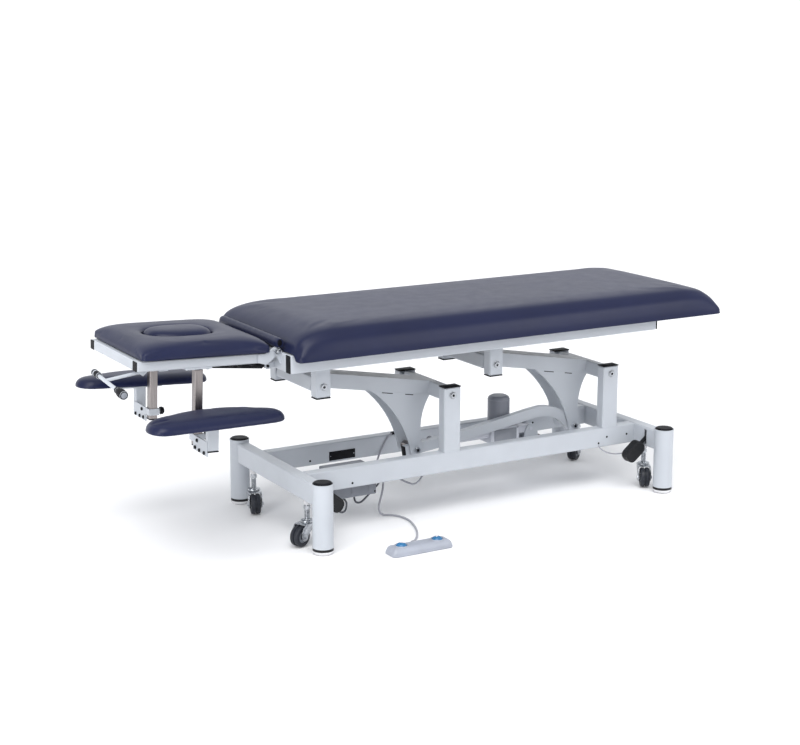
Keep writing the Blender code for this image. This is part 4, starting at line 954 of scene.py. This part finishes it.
def fasteners():
    """Washers, screw heads, nuts, and dark discs that paint the shade in the sockets and small holes that
    show on the outside.
    """
    top_x, top_z = beam_point(ARM, 0.0, LIFT_X)
    for body, runs in (("base", [(LIFT_X, LIFT_Z), (LIFT_X + PITCH, LIFT_Z)]),
                       ("table", [(top_x, top_z), (top_x + PITCH, top_z)])):
        rings = Piece(f"{body}_washers", body, "zinc_plate")
        # Dark hexagon discs that paint the shade in the screw heads' sockets.
        socket_shade = Piece(f"{body}_sockets", body, "black_plastic")
        y = SIDE_Y + 0.0001 if body == "base" else 0.1617
        for x, z in runs:
            for side in SIDES:
                washer_and_socket(rings, socket_shade, x, z, y, side)
        rings.done()
        socket_shade.done(BLACK_AND_HOLE_SHADE)
    nuts = Piece("crank_nuts", "tie_link", "zinc_plate")
    # Dark round discs that paint the shade in the middle of each nut.
    dark = Piece("crank_socket_shade", "tie_link", "black_plastic")
    for x in (-0.17, -0.17 + PITCH):
        nuts.spin([(0.0, -0.0006), (0.0098, -0.0006), (0.0112, 0.0004), (0.0112, 0.0048), (0.0098, 0.0058),
                   (0.0, 0.0058)], (x, -0.0499, 0.196), (0, -1, 0), 6)
        dark.spin(disc(0.0048), (x, -0.0557, 0.196), (0, -1, 0), 20)
    nuts.done()
    dark.done(BLACK_AND_HOLE_SHADE)
    # Dark discs flat on the rails that paint the shade inside their small holes.
    holes = Piece("rail_hole_shade", "base", "black_plastic")
    for y, way, places in (
            (-SIDE_Y, -1, ((-0.465, 0.158), (0.469, 0.158), (0.5025, 0.176), (0.585, 0.1755))),
            (SIDE_Y - SIDE_W, -1, ((-0.468, 0.159), (0.395, 0.176))),
            (SIDE_Y, 1, ((-0.465, 0.158), (0.469, 0.158)))):
        for x, z in places:
            holes.spin(disc(0.0036), (x, y, z), (0, way, 0), 20)
    holes.done(BLACK_AND_HOLE_SHADE)
    badge = Piece("blank_plate", "base", "black_plastic")
    badge.block((-0.399, 0.1205, 0.15), (-0.304, 0.1221, 0.18), 0.0006)
    badge.done()
    rivets = Piece("blank_plate_rivets", "base", "zinc_plate")
    for x in (-0.3945, -0.3085):
        rivets.spin([(0.002, 0.0), (0.0016, 0.0006), (0.0, 0.0009)], (x, 0.1205, 0.165), (0, -1, 0), 12)
    rivets.done()
    for side, sy in NEAR_FAR:
        hinge = Piece(f"hinge_washer_{side}", "table", "zinc_plate")
        y = sy * 0.2088
        hinge.spin([(0.0, 0.0), (0.0068, 0.0), (0.0064, 0.0012), (0.0042, 0.0024), (0.0, 0.0028)],
                   (HINGE_X, y, HINGE_Z), (0, sy, 0))
        hinge.spin([(0.006, 0.0), (0.0108, 0.0), (0.0108, 0.001), (0.006, 0.001), (0.006, 0.0)],
                   (HINGE_X, sy * 0.2026, HINGE_Z), (0, sy, 0))
        hinge.done()
        flange = Piece(f"flange_screws_{side}", "head", "zinc_plate", TILTED)
        for dx in (-0.031, 0.031):
            flange.spin([(0.0, -0.0035), (0.0048, -0.0032), (0.0056, -0.0006), (0.0056, 0.0), (0.0, 0.0)],
                        (DROP_X + dx, sy * DROP_Y, 0.5679), (0, 0, 1), 20)
        flange.done()
        screws = Piece(f"bracket_screws_{side}", f"armrest_{side}", "black_plastic", TILTED)
        for y, z in ((0.202, 0.345), (0.232, 0.343), (0.266, 0.343), (0.215, 0.368)):
            screws.spin([(0.0, 0.004), (0.0044, 0.0036), (0.0056, 0.0016), (0.0058, 0.0)],
                        (DROP_X - 0.017, sy * y, z), (-1, 0, 0), 18)
        screws.done()
    buttons = Piece("head_underside_studs", "head", "black_plastic", TILTED)
    for x in (-0.866, -0.838, -0.801):
        buttons.spin([(0.0, -0.0075), (0.005, -0.0068), (0.0082, -0.004), (0.0088, 0.0), (0.0, 0.0)],
                     (x, -0.1735, 0.5728), (0, 0, 1), 20)
    buttons.done()
    tab = Piece("head_rail_tab", "head", "frame_enamel", TILTED)
    tab.block((-1.091, -0.1815, 0.5695), (-1.064, -0.165, 0.5735), 0.0012)
    tab.done()


def post_feet():
    """Levelling glide under each post: a white lip, the black ring and a bright dome."""
    for end, sx in ENDS:
        for side, sy in NEAR_FAR:
            x = sx * POST_X
            y = sy * POST_Y
            lip = Piece(f"post_lip_{end}_{side}", "base", "frame_enamel")
            lip.spin([(0.03, 0.0203), (0.03215, 0.0203), (0.0324, 0.021), (0.0324, 0.0224),
                      (0.0319, 0.0232), (0.0316, 0.0232)], (x, y, 0.0), steps=48)
            lip.spin([(0.0306, 0.0), (0.0321, 0.0), (0.0325, 0.0007), (0.0322, 0.0017), (0.0306, 0.0021)],
                     (x, y, POST_TOP - 0.0008), (0, 0, 1), 48)
            lip.done()
            dome = Piece(f"glide_{end}_{side}", "base", "pale_plastic")
            dome.spin([(0.0318, 0.0118), (0.0321, 0.011), (0.0318, 0.0086), (0.0306, 0.0052),
                       (0.0281, 0.0022), (0.0246, 0.0004), (0.0225, 0.0001), (0.0, 0.0001)], (x, y, 0.0),
                      (0, 0, 1), 48)
            dome.done(GLIDE)


def castors():
    """Treaded wheel, hub, race and stem fittings of each castor."""
    for end, sx in ENDS:
        stems = Piece(f"stem_fittings_{end}", f"castor_carriage_{end}", "zinc_plate")
        bushes = Piece(f"stem_bushes_{end}", "base", "pale_plastic")
        for side, sy in NEAR_FAR:
            x = sx * POST_X
            y = sy * STEM_Y
            threads = []
            for k in range(20):
                z = 0.08 + 0.0015 * k
                threads += [(0.00765, z), (0.00815, z + 0.0004), (0.00765, z + 0.0009)]
            stems.spin([(0.0074, 0.0796), *threads, (0.0074, 0.1105)], (x, y, 0.0), steps=24)
            bushes.spin([(0.0079, 0.143), (0.0079, 0.126), (0.0098, 0.1256), (0.0104, 0.1268),
                         (0.0112, 0.1385), (0.0125, 0.14), (0.0125, 0.1429), (0.0079, 0.143)],
                        (x, y, 0.0), steps=28)
            heading = math.radians(HEADING[end, side])
            way = Vector((math.cos(heading), math.sin(heading), 0.0))
            across = Vector((-way.y, way.x, 0.0))
            swivel = Matrix.Translation((x, y, 0.0)) @ Matrix.Rotation(heading, 4, "Z")
            tag = f"{end}_{side}"
            fork = Piece(f"castor_hood_{tag}", f"castor_fork_{tag}", "zinc_plate")
            fork.spin([(0.008, 0.08), (0.0118, 0.08), (0.0124, 0.0788), (0.015, 0.0784),
                       (0.019, 0.0768), (0.0202, 0.0742), (0.0202, 0.0722), (0.019, 0.0708),
                       (0.008, 0.0706)], (0, 0, 0), (0, 0, 1), 40, swivel)
            crown = [(-0.0175, -0.0205), (0.03, -0.0212), (0.0345, -0.0175), (0.0345, 0.0175),
                     (0.03, 0.0212), (-0.0175, 0.0205), (-0.0205, 0.015), (-0.0205, -0.015)]
            fork.plate(crown, 0.0678, 0.0708, 0.001, "Z", swivel)
            for out in SIDES:
                low, high = sorted((out * 0.0187, out * 0.0216))
                cheek = bow((-0.0175, 0.07), (0.0065, 0.048), (TRAIL - 0.0135, AXLE_Z), 9)
                cheek += ring_arc((TRAIL, AXLE_Z), 0.0135, 180, 360, 12)
                cheek += bow((TRAIL + 0.0135, AXLE_Z), (0.044, 0.054), (0.032, 0.07), 8)
                fork.plate(cheek, low, high, 0.0009, "Y", swivel)
                fork.spin([(0.0, 0.0048), (0.0034, 0.0044), (0.0058, 0.003), (0.0064, 0.0)],
                          (TRAIL, out * 0.0216, AXLE_Z), (0, out, 0), 6, swivel)
                fork.spin([(0.0058, 0.0), (0.0092, 0.0), (0.0092, 0.0008), (0.0058, 0.0012)],
                          (TRAIL, out * 0.0215, AXLE_Z), (0, out, 0), 24, swivel)
            fork.done(replaces=[f"castor_fork_{tag}"])
            wheel = Piece(f"castor_tread_{tag}", f"castor_wheel_{tag}", "castor_tyre")
            half = WHEEL_HALF
            groove = [(0.0205, half - 0.0002), (0.0222, half), (0.029, half - 0.0006),
                      (0.0312, half - 0.0026), (0.032, half - 0.0055), (0.032, 0.003), (0.031, 0.0021), (0.0285, 0.0017),
                      (0.0285, -0.0017), (0.031, -0.0021), (0.032, -0.003), (0.032, 0.0055 - half),
                      (0.0312, 0.0026 - half), (0.029, 0.0006 - half), (0.0222, -half),
                      (0.0205, 0.0002 - half)]
            centre = Vector((x, y, AXLE_Z)) + way * TRAIL
            wheel.spin(groove, centre, across, 48)
            wheel.spin([(0.0205, half - 0.0002), (0.0198, half - 0.0035), (0.0105, half - 0.004),
                        (0.0088, half - 0.0006), (0.0044, half - 0.0004)], centre, across, 40)
            wheel.spin([(0.0044, 0.0004 - half), (0.0088, 0.0006 - half), (0.0105, 0.004 - half),
                        (0.0198, 0.0035 - half), (0.0205, 0.0002 - half)], centre, across, 40)
            wheel.done(replaces=[f"castor_wheel_{tag}"])
            hub = Piece(f"castor_hub_{tag}", f"castor_wheel_{tag}", "grey_plastic")
            for out in SIDES:
                hub.spin([(0.0046, 0.0), (0.0078, 0.0002), (0.0084, -0.0006), (0.0084, -0.003)],
                         centre + across * out * (half - 0.0002), across * out, 28)
                hub.spin([(0.0112, 0.0), (0.0192, 0.0003), (0.0196, -0.0004)],
                         centre + across * out * (half - 0.0034), across * out, 36)
            hub.done()
        stems.done()
        bushes.done(GLIDE)


def pedal_grips():
    """Raised ribs across each pedal's pad, and a raised rim round the pad on each face."""
    for end, sx in ENDS:
        ribs = Piece(f"pedal_ribs_{end}", f"pedal_{end}", "black_rubber")
        along = Vector((-sx * 0.78, 0.0, -0.626)).normalized()
        across = Vector((along.z, 0.0, -along.x))
        hub = Vector((sx * POST_X, -0.22, 0.186))
        side = 1 if across.z > 0 else -1
        for k in range(7):
            start = hub + along * (0.063 + 0.008 * k) + across * side * 0.0228
            ribs.wire([start + Vector((0, -0.0105, 0)), start + Vector((0, 0.0105, 0))], 0.0012, 8)
        for sy in SIDES:
            frame_line = []
            for out, up, begin in ((0.107, 0.003, 90), (0.107, -0.003, 0), (0.067, -0.003, -90),
                                   (0.067, 0.003, -180)):
                for step in range(6):
                    turn = math.radians(begin - 90 * step / 5)
                    frame_line.append(hub + along * (out + 0.0145 * math.cos(turn))
                                      + across * (up + 0.0145 * math.sin(turn)) + Vector((0, sy * 0.0149, 0)))
            ribs.wire(frame_line, 0.0012, 8, True)
        ribs.done()


def handle_grips():
    """Black grips on the release handle's cross bar."""
    grips = Piece("handle_grips", "release_handle", "black_plastic", TILTED)
    tee = Vector((-1.238, -0.147, 0.548))
    far = tee + Vector((0.0, 0.09, 0.006))
    near = tee + Vector((0.0, -0.145, -0.013))
    out = (far - tee).normalized()
    grips.spin([(0.0, 0.0046), (0.0058, 0.0042), (0.0088, 0.0022), (0.01, -0.0012), (0.0099, -0.006),
                (0.0092, -0.011), (0.0098, -0.02), (0.01, -0.033), (0.0094, -0.0395),
                (0.006, -0.0412)], far, out, 28)
    out = (near - tee).normalized()
    grips.spin([(0.0, 0.0012), (0.01, 0.001), (0.0126, -0.0006), (0.0132, -0.004), (0.0132, -0.023),
                (0.0126, -0.03), (0.0106, -0.036), (0.0099, -0.044), (0.01, -0.052),
                (0.0092, -0.0545), (0.0058, -0.055)], near, out, 28)
    grips.done()
    cap = Piece("handle_end_disc", "release_handle", "grey_plastic", TILTED)
    cap.spin([(0.0, 0.0018), (0.008, 0.0016), (0.0092, 0.0008)], near, out, 28)
    cap.done()


def clamp_knobs():
    """Five-lobed clamping knob of each armrest."""
    for side, sy in NEAR_FAR:
        knob = Piece(f"lobed_knob_{side}", f"clamp_knob_{side}", "black_plastic", TILTED)
        outline = []
        for k in range(50):
            turn = 2 * math.pi * k / 50
            radius = 0.0112 + 0.0012 * math.cos(5 * turn)
            outline.append((radius * math.cos(turn), radius * math.sin(turn)))
        aim = (Matrix.Translation((DROP_X + 0.0237, sy * DROP_Y, 0.368))
               @ Matrix.Rotation(math.radians(90), 4, "Y"))
        knob.plate(outline, 0.0012, 0.0118, 0.0018, "Z", aim)
        knob.spin([(0.006, 0.0), (0.0052, 0.0012), (0.0, 0.0016)], (DROP_X + 0.0355, sy * DROP_Y, 0.368),
                  (1, 0, 0), 24)
        knob.done()


def actuator_details():
    """Seams, ribs, screws and bands of the actuator and its control box."""
    trim = Piece("actuator_trim", "actuator_housing", "grey_plastic")
    motor = (0.19, 0.0265)
    for z, radius in ((0.2185, 0.0378), (0.3062, 0.0372)):
        trim.spin([(radius - 0.0012, z - 0.0012), (radius, z - 0.0008), (radius, z + 0.0008),
                   (radius - 0.0012, z + 0.0012)], (*motor, 0.0), (0, 0, 1), 40)
    trim.spin([(0.015, -0.0035), (0.0188, -0.003), (0.0196, 0.0), (0.0188, 0.003), (0.015, 0.0035)],
              (-0.0835, 0.015, 0.197), (1, 0, 0), 28)
    trim.block((0.15, -0.0128, 0.17), (0.238, -0.0108, 0.21), 0.001)
    trim.done(moulded("actuator_trim_look", (0.26, 0.275, 0.31), 0.42))
    screws = Piece("actuator_screws", "actuator_housing", "zinc_plate")
    for x in (0.145, 0.243):
        for z in (0.169, 0.211):
            screws.spin([(0.0, 0.0016), (0.0026, 0.0012), (0.0034, 0.0)], (x, -0.011, z), (0, -1, 0), 16)
    screws.done()
    seam = Piece("control_box_trim", "base", "grey_plastic")
    low = Vector((-0.4925, -0.0885, 0.0))
    high = Vector((-0.3395, 0.0165, 0.0))
    line = [(x, y, 0.134) for x, y in rounded_rectangle(low.x, low.y, high.x, high.y, 0.005, 5)]
    seam.wire(line, 0.0011, 8, True)
    for x in (-0.48, -0.4215, -0.363):
        seam.block((x - 0.008, -0.0894, 0.1), (x + 0.008, -0.0878, 0.13), 0.0006)
    seam.done()
    glands = Piece("control_box_glands", "base", "black_plastic")
    for y in (-0.072, -0.02, 0.002):
        glands.spin([(0.0, 0.01), (0.0036, 0.0098), (0.0048, 0.004), (0.006, 0.0034), (0.0064, 0.0)],
                    (-0.34, y, 0.122), (1, 0, 0), 18)
    for x in (-0.47, -0.445, -0.4):
        glands.spin([(0.0, 0.009), (0.0036, 0.0088), (0.0048, 0.0036), (0.006, 0.003), (0.0064, 0.0)],
                    (x, -0.05, 0.0861), (0, 0, -1), 18)
    for x in (-0.4855, -0.3465):
        for z in (0.096, 0.122):
            glands.spin([(0.0, 0.0012), (0.0024, 0.0009), (0.003, 0.0)], (x, -0.088, z), (0, -1, 0), 14)
    glands.done(BLACK_AND_HOLE_SHADE)
    cheek = Piece("anchor_buffer", "base", "black_rubber")
    cheek.block((0.334, -0.034, 0.1582), (0.35, 0.06, 0.166), 0.0022, 3)
    cheek.done()


# ---------------------------------------------------------------- wiring
def lead(name, points, radius, count, material=None, replaces=(), slot="cable_jacket"):
    """Round cable on one smooth curve that leaves the object and goes back into it."""
    path = smooth_path([at(*p) for p in points], count)
    curve = bpy.data.curves.new(name, "CURVE")
    curve.dimensions = "3D"
    curve.bevel_depth = radius
    curve.bevel_resolution = 4
    curve.use_fill_caps = True
    line = curve.splines.new("POLY")
    line.points.add(len(path) - 1)
    for point, co in zip(line.points, path):
        point.co = (*co, 1.0)
    line.use_smooth = True
    made = placed(name, curve)
    curve.materials.append(SLOTS[slot] if material is None else material)
    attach(made, "base")
    if replaces:
        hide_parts(*replaces)
    length_of(path)
    return path


def wiring():
    lead("foot_switch_cord", CORD, CORD_R, 40, replaces=["switch_cord"])
    relief = Piece("cord_reliefs", "base", "grey_plastic")
    start = [at(*p) - Vector((MID_X, MID_Y, 0)) for p in CORD[:3]]
    route = smooth_path(start, 9)
    relief.wire(route, lambda t: 0.006 - 0.0024 * t, 16)
    finish = [Vector(p) for p in CORD[-3:]]
    route = smooth_path(finish[::-1], 9)
    relief.wire(route, lambda t: 0.0058 - 0.0022 * t, 16)
    relief.done(moulded("relief_look", (0.26, 0.27, 0.31), 0.5))
    lead("box_loop_long", [(-0.47, -0.05, 0.08), (-0.4705, -0.0505, 0.069), (-0.4665, -0.052, 0.054),
                           (-0.459, -0.0545, 0.04), (-0.449, -0.057, 0.033), (-0.439, -0.059, 0.037),
                           (-0.434, -0.06, 0.049), (-0.433, -0.058, 0.064), (-0.44, -0.053, 0.076),
                           (-0.445, -0.05, 0.08)], 0.0031, 40, DARK_CABLE)
    lead("box_loop_short", [(-0.4, -0.05, 0.08), (-0.4005, -0.051, 0.07), (-0.398, -0.054, 0.06),
                            (-0.39, -0.058, 0.056), (-0.378, -0.061, 0.06), (-0.364, -0.063, 0.072),
                            (-0.348, -0.066, 0.088), (-0.334, -0.069, 0.102), (-0.3245, -0.0715, 0.113),
                            (-0.324, -0.072, 0.12), (-0.3305, -0.072, 0.122)], 0.0031, 36, DARK_CABLE)
    lead("actuator_lead", [(-0.33, -0.02, 0.122), (-0.318, -0.021, 0.1222), (-0.304, -0.027, 0.123),
                           (-0.285, -0.045, 0.125), (-0.262, -0.075, 0.124), (-0.24, -0.1, 0.113),
                           (-0.218, -0.112, 0.105), (-0.196, -0.108, 0.113), (-0.176, -0.096, 0.125),
                           (-0.14, -0.08, 0.133), (-0.06, -0.066, 0.136), (0.04, -0.06, 0.137),
                           (0.12, -0.05, 0.14), (0.15, -0.035, 0.147), (0.162, -0.018, 0.156),
                           (0.164, -0.004, 0.162)], 0.0029, 40)
    lead("far_rail_lead", [(-0.33, 0.002, 0.122), (-0.318, 0.0035, 0.122), (-0.3, 0.014, 0.1225),
                           (-0.27, 0.05, 0.126), (-0.24, 0.09, 0.135), (-0.218, 0.113, 0.15),
                           (-0.202, 0.1185, 0.172), (-0.188, 0.1185, 0.195), (-0.174, 0.117, 0.211),
                           (-0.16, 0.119, 0.2135)], 0.003, 34)
    lead("brake_lead", [(0.469, -0.1605, 0.15), (0.47, -0.164, 0.145), (0.48, -0.1675, 0.135),
                        (0.502, -0.169, 0.123), (0.53, -0.17, 0.1155), (0.562, -0.172, 0.114),
                        (0.595, -0.1765, 0.118), (0.62, -0.183, 0.129), (0.633, -0.19, 0.142)],
         0.0022, 30)
    clip = Piece("cable_clip", "base", "black_plastic")
    clip.block((-0.17, 0.1145, 0.2085), (-0.152, 0.126, 0.2165), 0.0015)
    clip.done()


# ---------------------------------------------------------------- foot switch
def foot_switch():
    """Pillow-shaped housing with collars round its two domed buttons."""
    housing = Piece("switch_housing", "base", "pale_plastic")
    half_long = 0.104
    half_wide = 0.032
    outline = rounded_rectangle(SWITCH_X - half_long, SWITCH_Y - half_wide, SWITCH_X + half_long,
                                SWITCH_Y + half_wide, 0.015, 9)
    shape = bmesh.new()
    rings = []
    for inset, height in ((0.002, 0.0006), (0.0004, 0.0012), (0.0000, 0.003), (0.0004, 0.006),
                          (0.001, 0.0066), (0.0008, 0.0072), (0.0022, 0.012), (0.0048, 0.017),
                          (0.0078, 0.0208), (0.0108, 0.0234), (0.0136, 0.0248), (0.0146, 0.0252)):
        rings.append([shape.verts.new((x, y, height)) for x, y in inward(outline, inset)])
    skin(shape, rings)
    housing.add(shape)
    for end, sx in ENDS:
        x = SWITCH_X + sx * 0.062
        y = SWITCH_Y - 0.001
        housing.spin([(0.0184, 0.022), (0.0184, 0.0268), (0.0192, 0.0276), (0.0208, 0.0272),
                      (0.0216, 0.0256), (0.0222, 0.022)], (x, y, 0.0), steps=40)
        mark = Piece(f"button_mark_{end}", f"switch_button_{end}", "pale_plastic")
        point = 0.006
        mark.plate([(x - sx * point * 0.9, y - 0.006), (x + sx * point * 0.9, y),
                    (x - sx * point * 0.9, y + 0.006)][::sx], 0.0338, 0.0359, 0.0003)
        mark.done(GLIDE)
    housing.done(SWITCH, replaces=["foot_switch"], smooth=50)


# ---------------------------------------------------------------- stage
def stage():
    ground = bpy.data.meshes.new("floor")
    span = 900.0
    ground.from_pydata([(-span, -span, 0), (span, -span, 0), (span, span, 0), (-span, span, 0)], [],
                       [(0, 1, 2, 3)])
    floor = placed("floor", ground)
    pale = Shader("floor_look", (0.93, 0.93, 0.94), 0.9)
    pale.relief(pale.noise(3.0, 2.0), 0.0005, 0.02)
    ground.materials.append(pale.made)

    world = bpy.data.worlds.new("studio")
    bpy.context.scene.world = world
    world.use_nodes = True
    nodes = world.node_tree.nodes
    links = world.node_tree.links
    sky = nodes.new("ShaderNodeTexCoord")
    way = nodes.new("ShaderNodeSeparateXYZ")
    links.new(sky.outputs["Generated"], way.inputs["Vector"])
    fade = nodes.new("ShaderNodeValToRGB")
    fade.color_ramp.elements[0].color = (0.5, 0.5, 0.5, 1)
    fade.color_ramp.elements[1].color = (0.62, 0.62, 0.62, 1)
    fade.color_ramp.elements[1].position = 0.72
    fade.color_ramp.elements.new(0.23).color = (1, 1, 1, 1)
    links.new(way.outputs["Z"], fade.inputs["Fac"])
    facing = nodes.new("ShaderNodeVectorMath")
    facing.operation = "DOT_PRODUCT"
    facing.inputs[1].default_value = (0.498, 0.867, 0.0)
    links.new(sky.outputs["Generated"], facing.inputs[0])
    backdrop = nodes.new("ShaderNodeMapRange")
    backdrop.inputs["From Min"].default_value = -0.55
    backdrop.inputs["From Max"].default_value = 0.65
    backdrop.inputs["To Min"].default_value = 0.48
    backdrop.inputs["To Max"].default_value = 1.3
    links.new(facing.outputs["Value"], backdrop.inputs["Value"])
    level = nodes.new("ShaderNodeMath")
    level.operation = "MULTIPLY"
    links.new(fade.outputs["Color"], level.inputs[0])
    links.new(backdrop.outputs["Result"], level.inputs[1])
    links.new(level.outputs["Value"], nodes["Background"].inputs["Strength"])
    nodes["Background"].inputs["Color"].default_value = (0.95, 0.97, 1.0, 1.0)

    sun = bpy.data.lights.new("key", "SUN")
    sun.energy = 2.55
    sun.angle = math.radians(50)
    key = placed("key", sun)
    key.rotation_euler = (Vector((0.0, 0.0, 0.0)) - Vector((-0.26, -0.44, 0.86))).to_track_quat(
        "-Z", "Y").to_euler()

    def softbox(name, place, aim, power, size, tone=(1.0, 1.0, 1.0)):
        light = bpy.data.lights.new(name, "AREA")
        light.energy = power
        light.shape = "RECTANGLE"
        light.size = size[0]
        light.size_y = size[1]
        light.color = tone
        made = placed(name, light)
        made.location = place
        made.rotation_euler = (Vector(aim) - Vector(place)).to_track_quat("-Z", "Y").to_euler()

    softbox("strip", (2.2, -2.9, 2.0), (0.1, 0, 0.4), 26, (2.4, 0.5))
    softbox("side", (-3.2, -1.4, 1.3), (0, 0, 0.4), 34, (1.2, 1.6))

    lens = bpy.data.cameras.new("camera")
    lens.lens = 75.2
    lens.sensor_width = 36.0
    lens.clip_end = 2000.0
    camera = placed("camera", lens)
    camera.location = at(-2.794, -4.51, 1.627)
    camera.rotation_euler = (math.radians(90 - CAMERA_DOWN), 0.0, math.radians(-CAMERA_TURN))
    bpy.context.scene.camera = camera
    bpy.context.scene.view_settings.view_transform = "Standard"


stage()
wiring()
body_cushion()
gap_strip()
head_cushion()
armrest_pad("near")
armrest_pad("far")
under_covers()
tube_plugs()
welds()
fasteners()
post_feet()
castors()
pedal_grips()
handle_grips()
clamp_knobs()
actuator_details()
foot_switch()
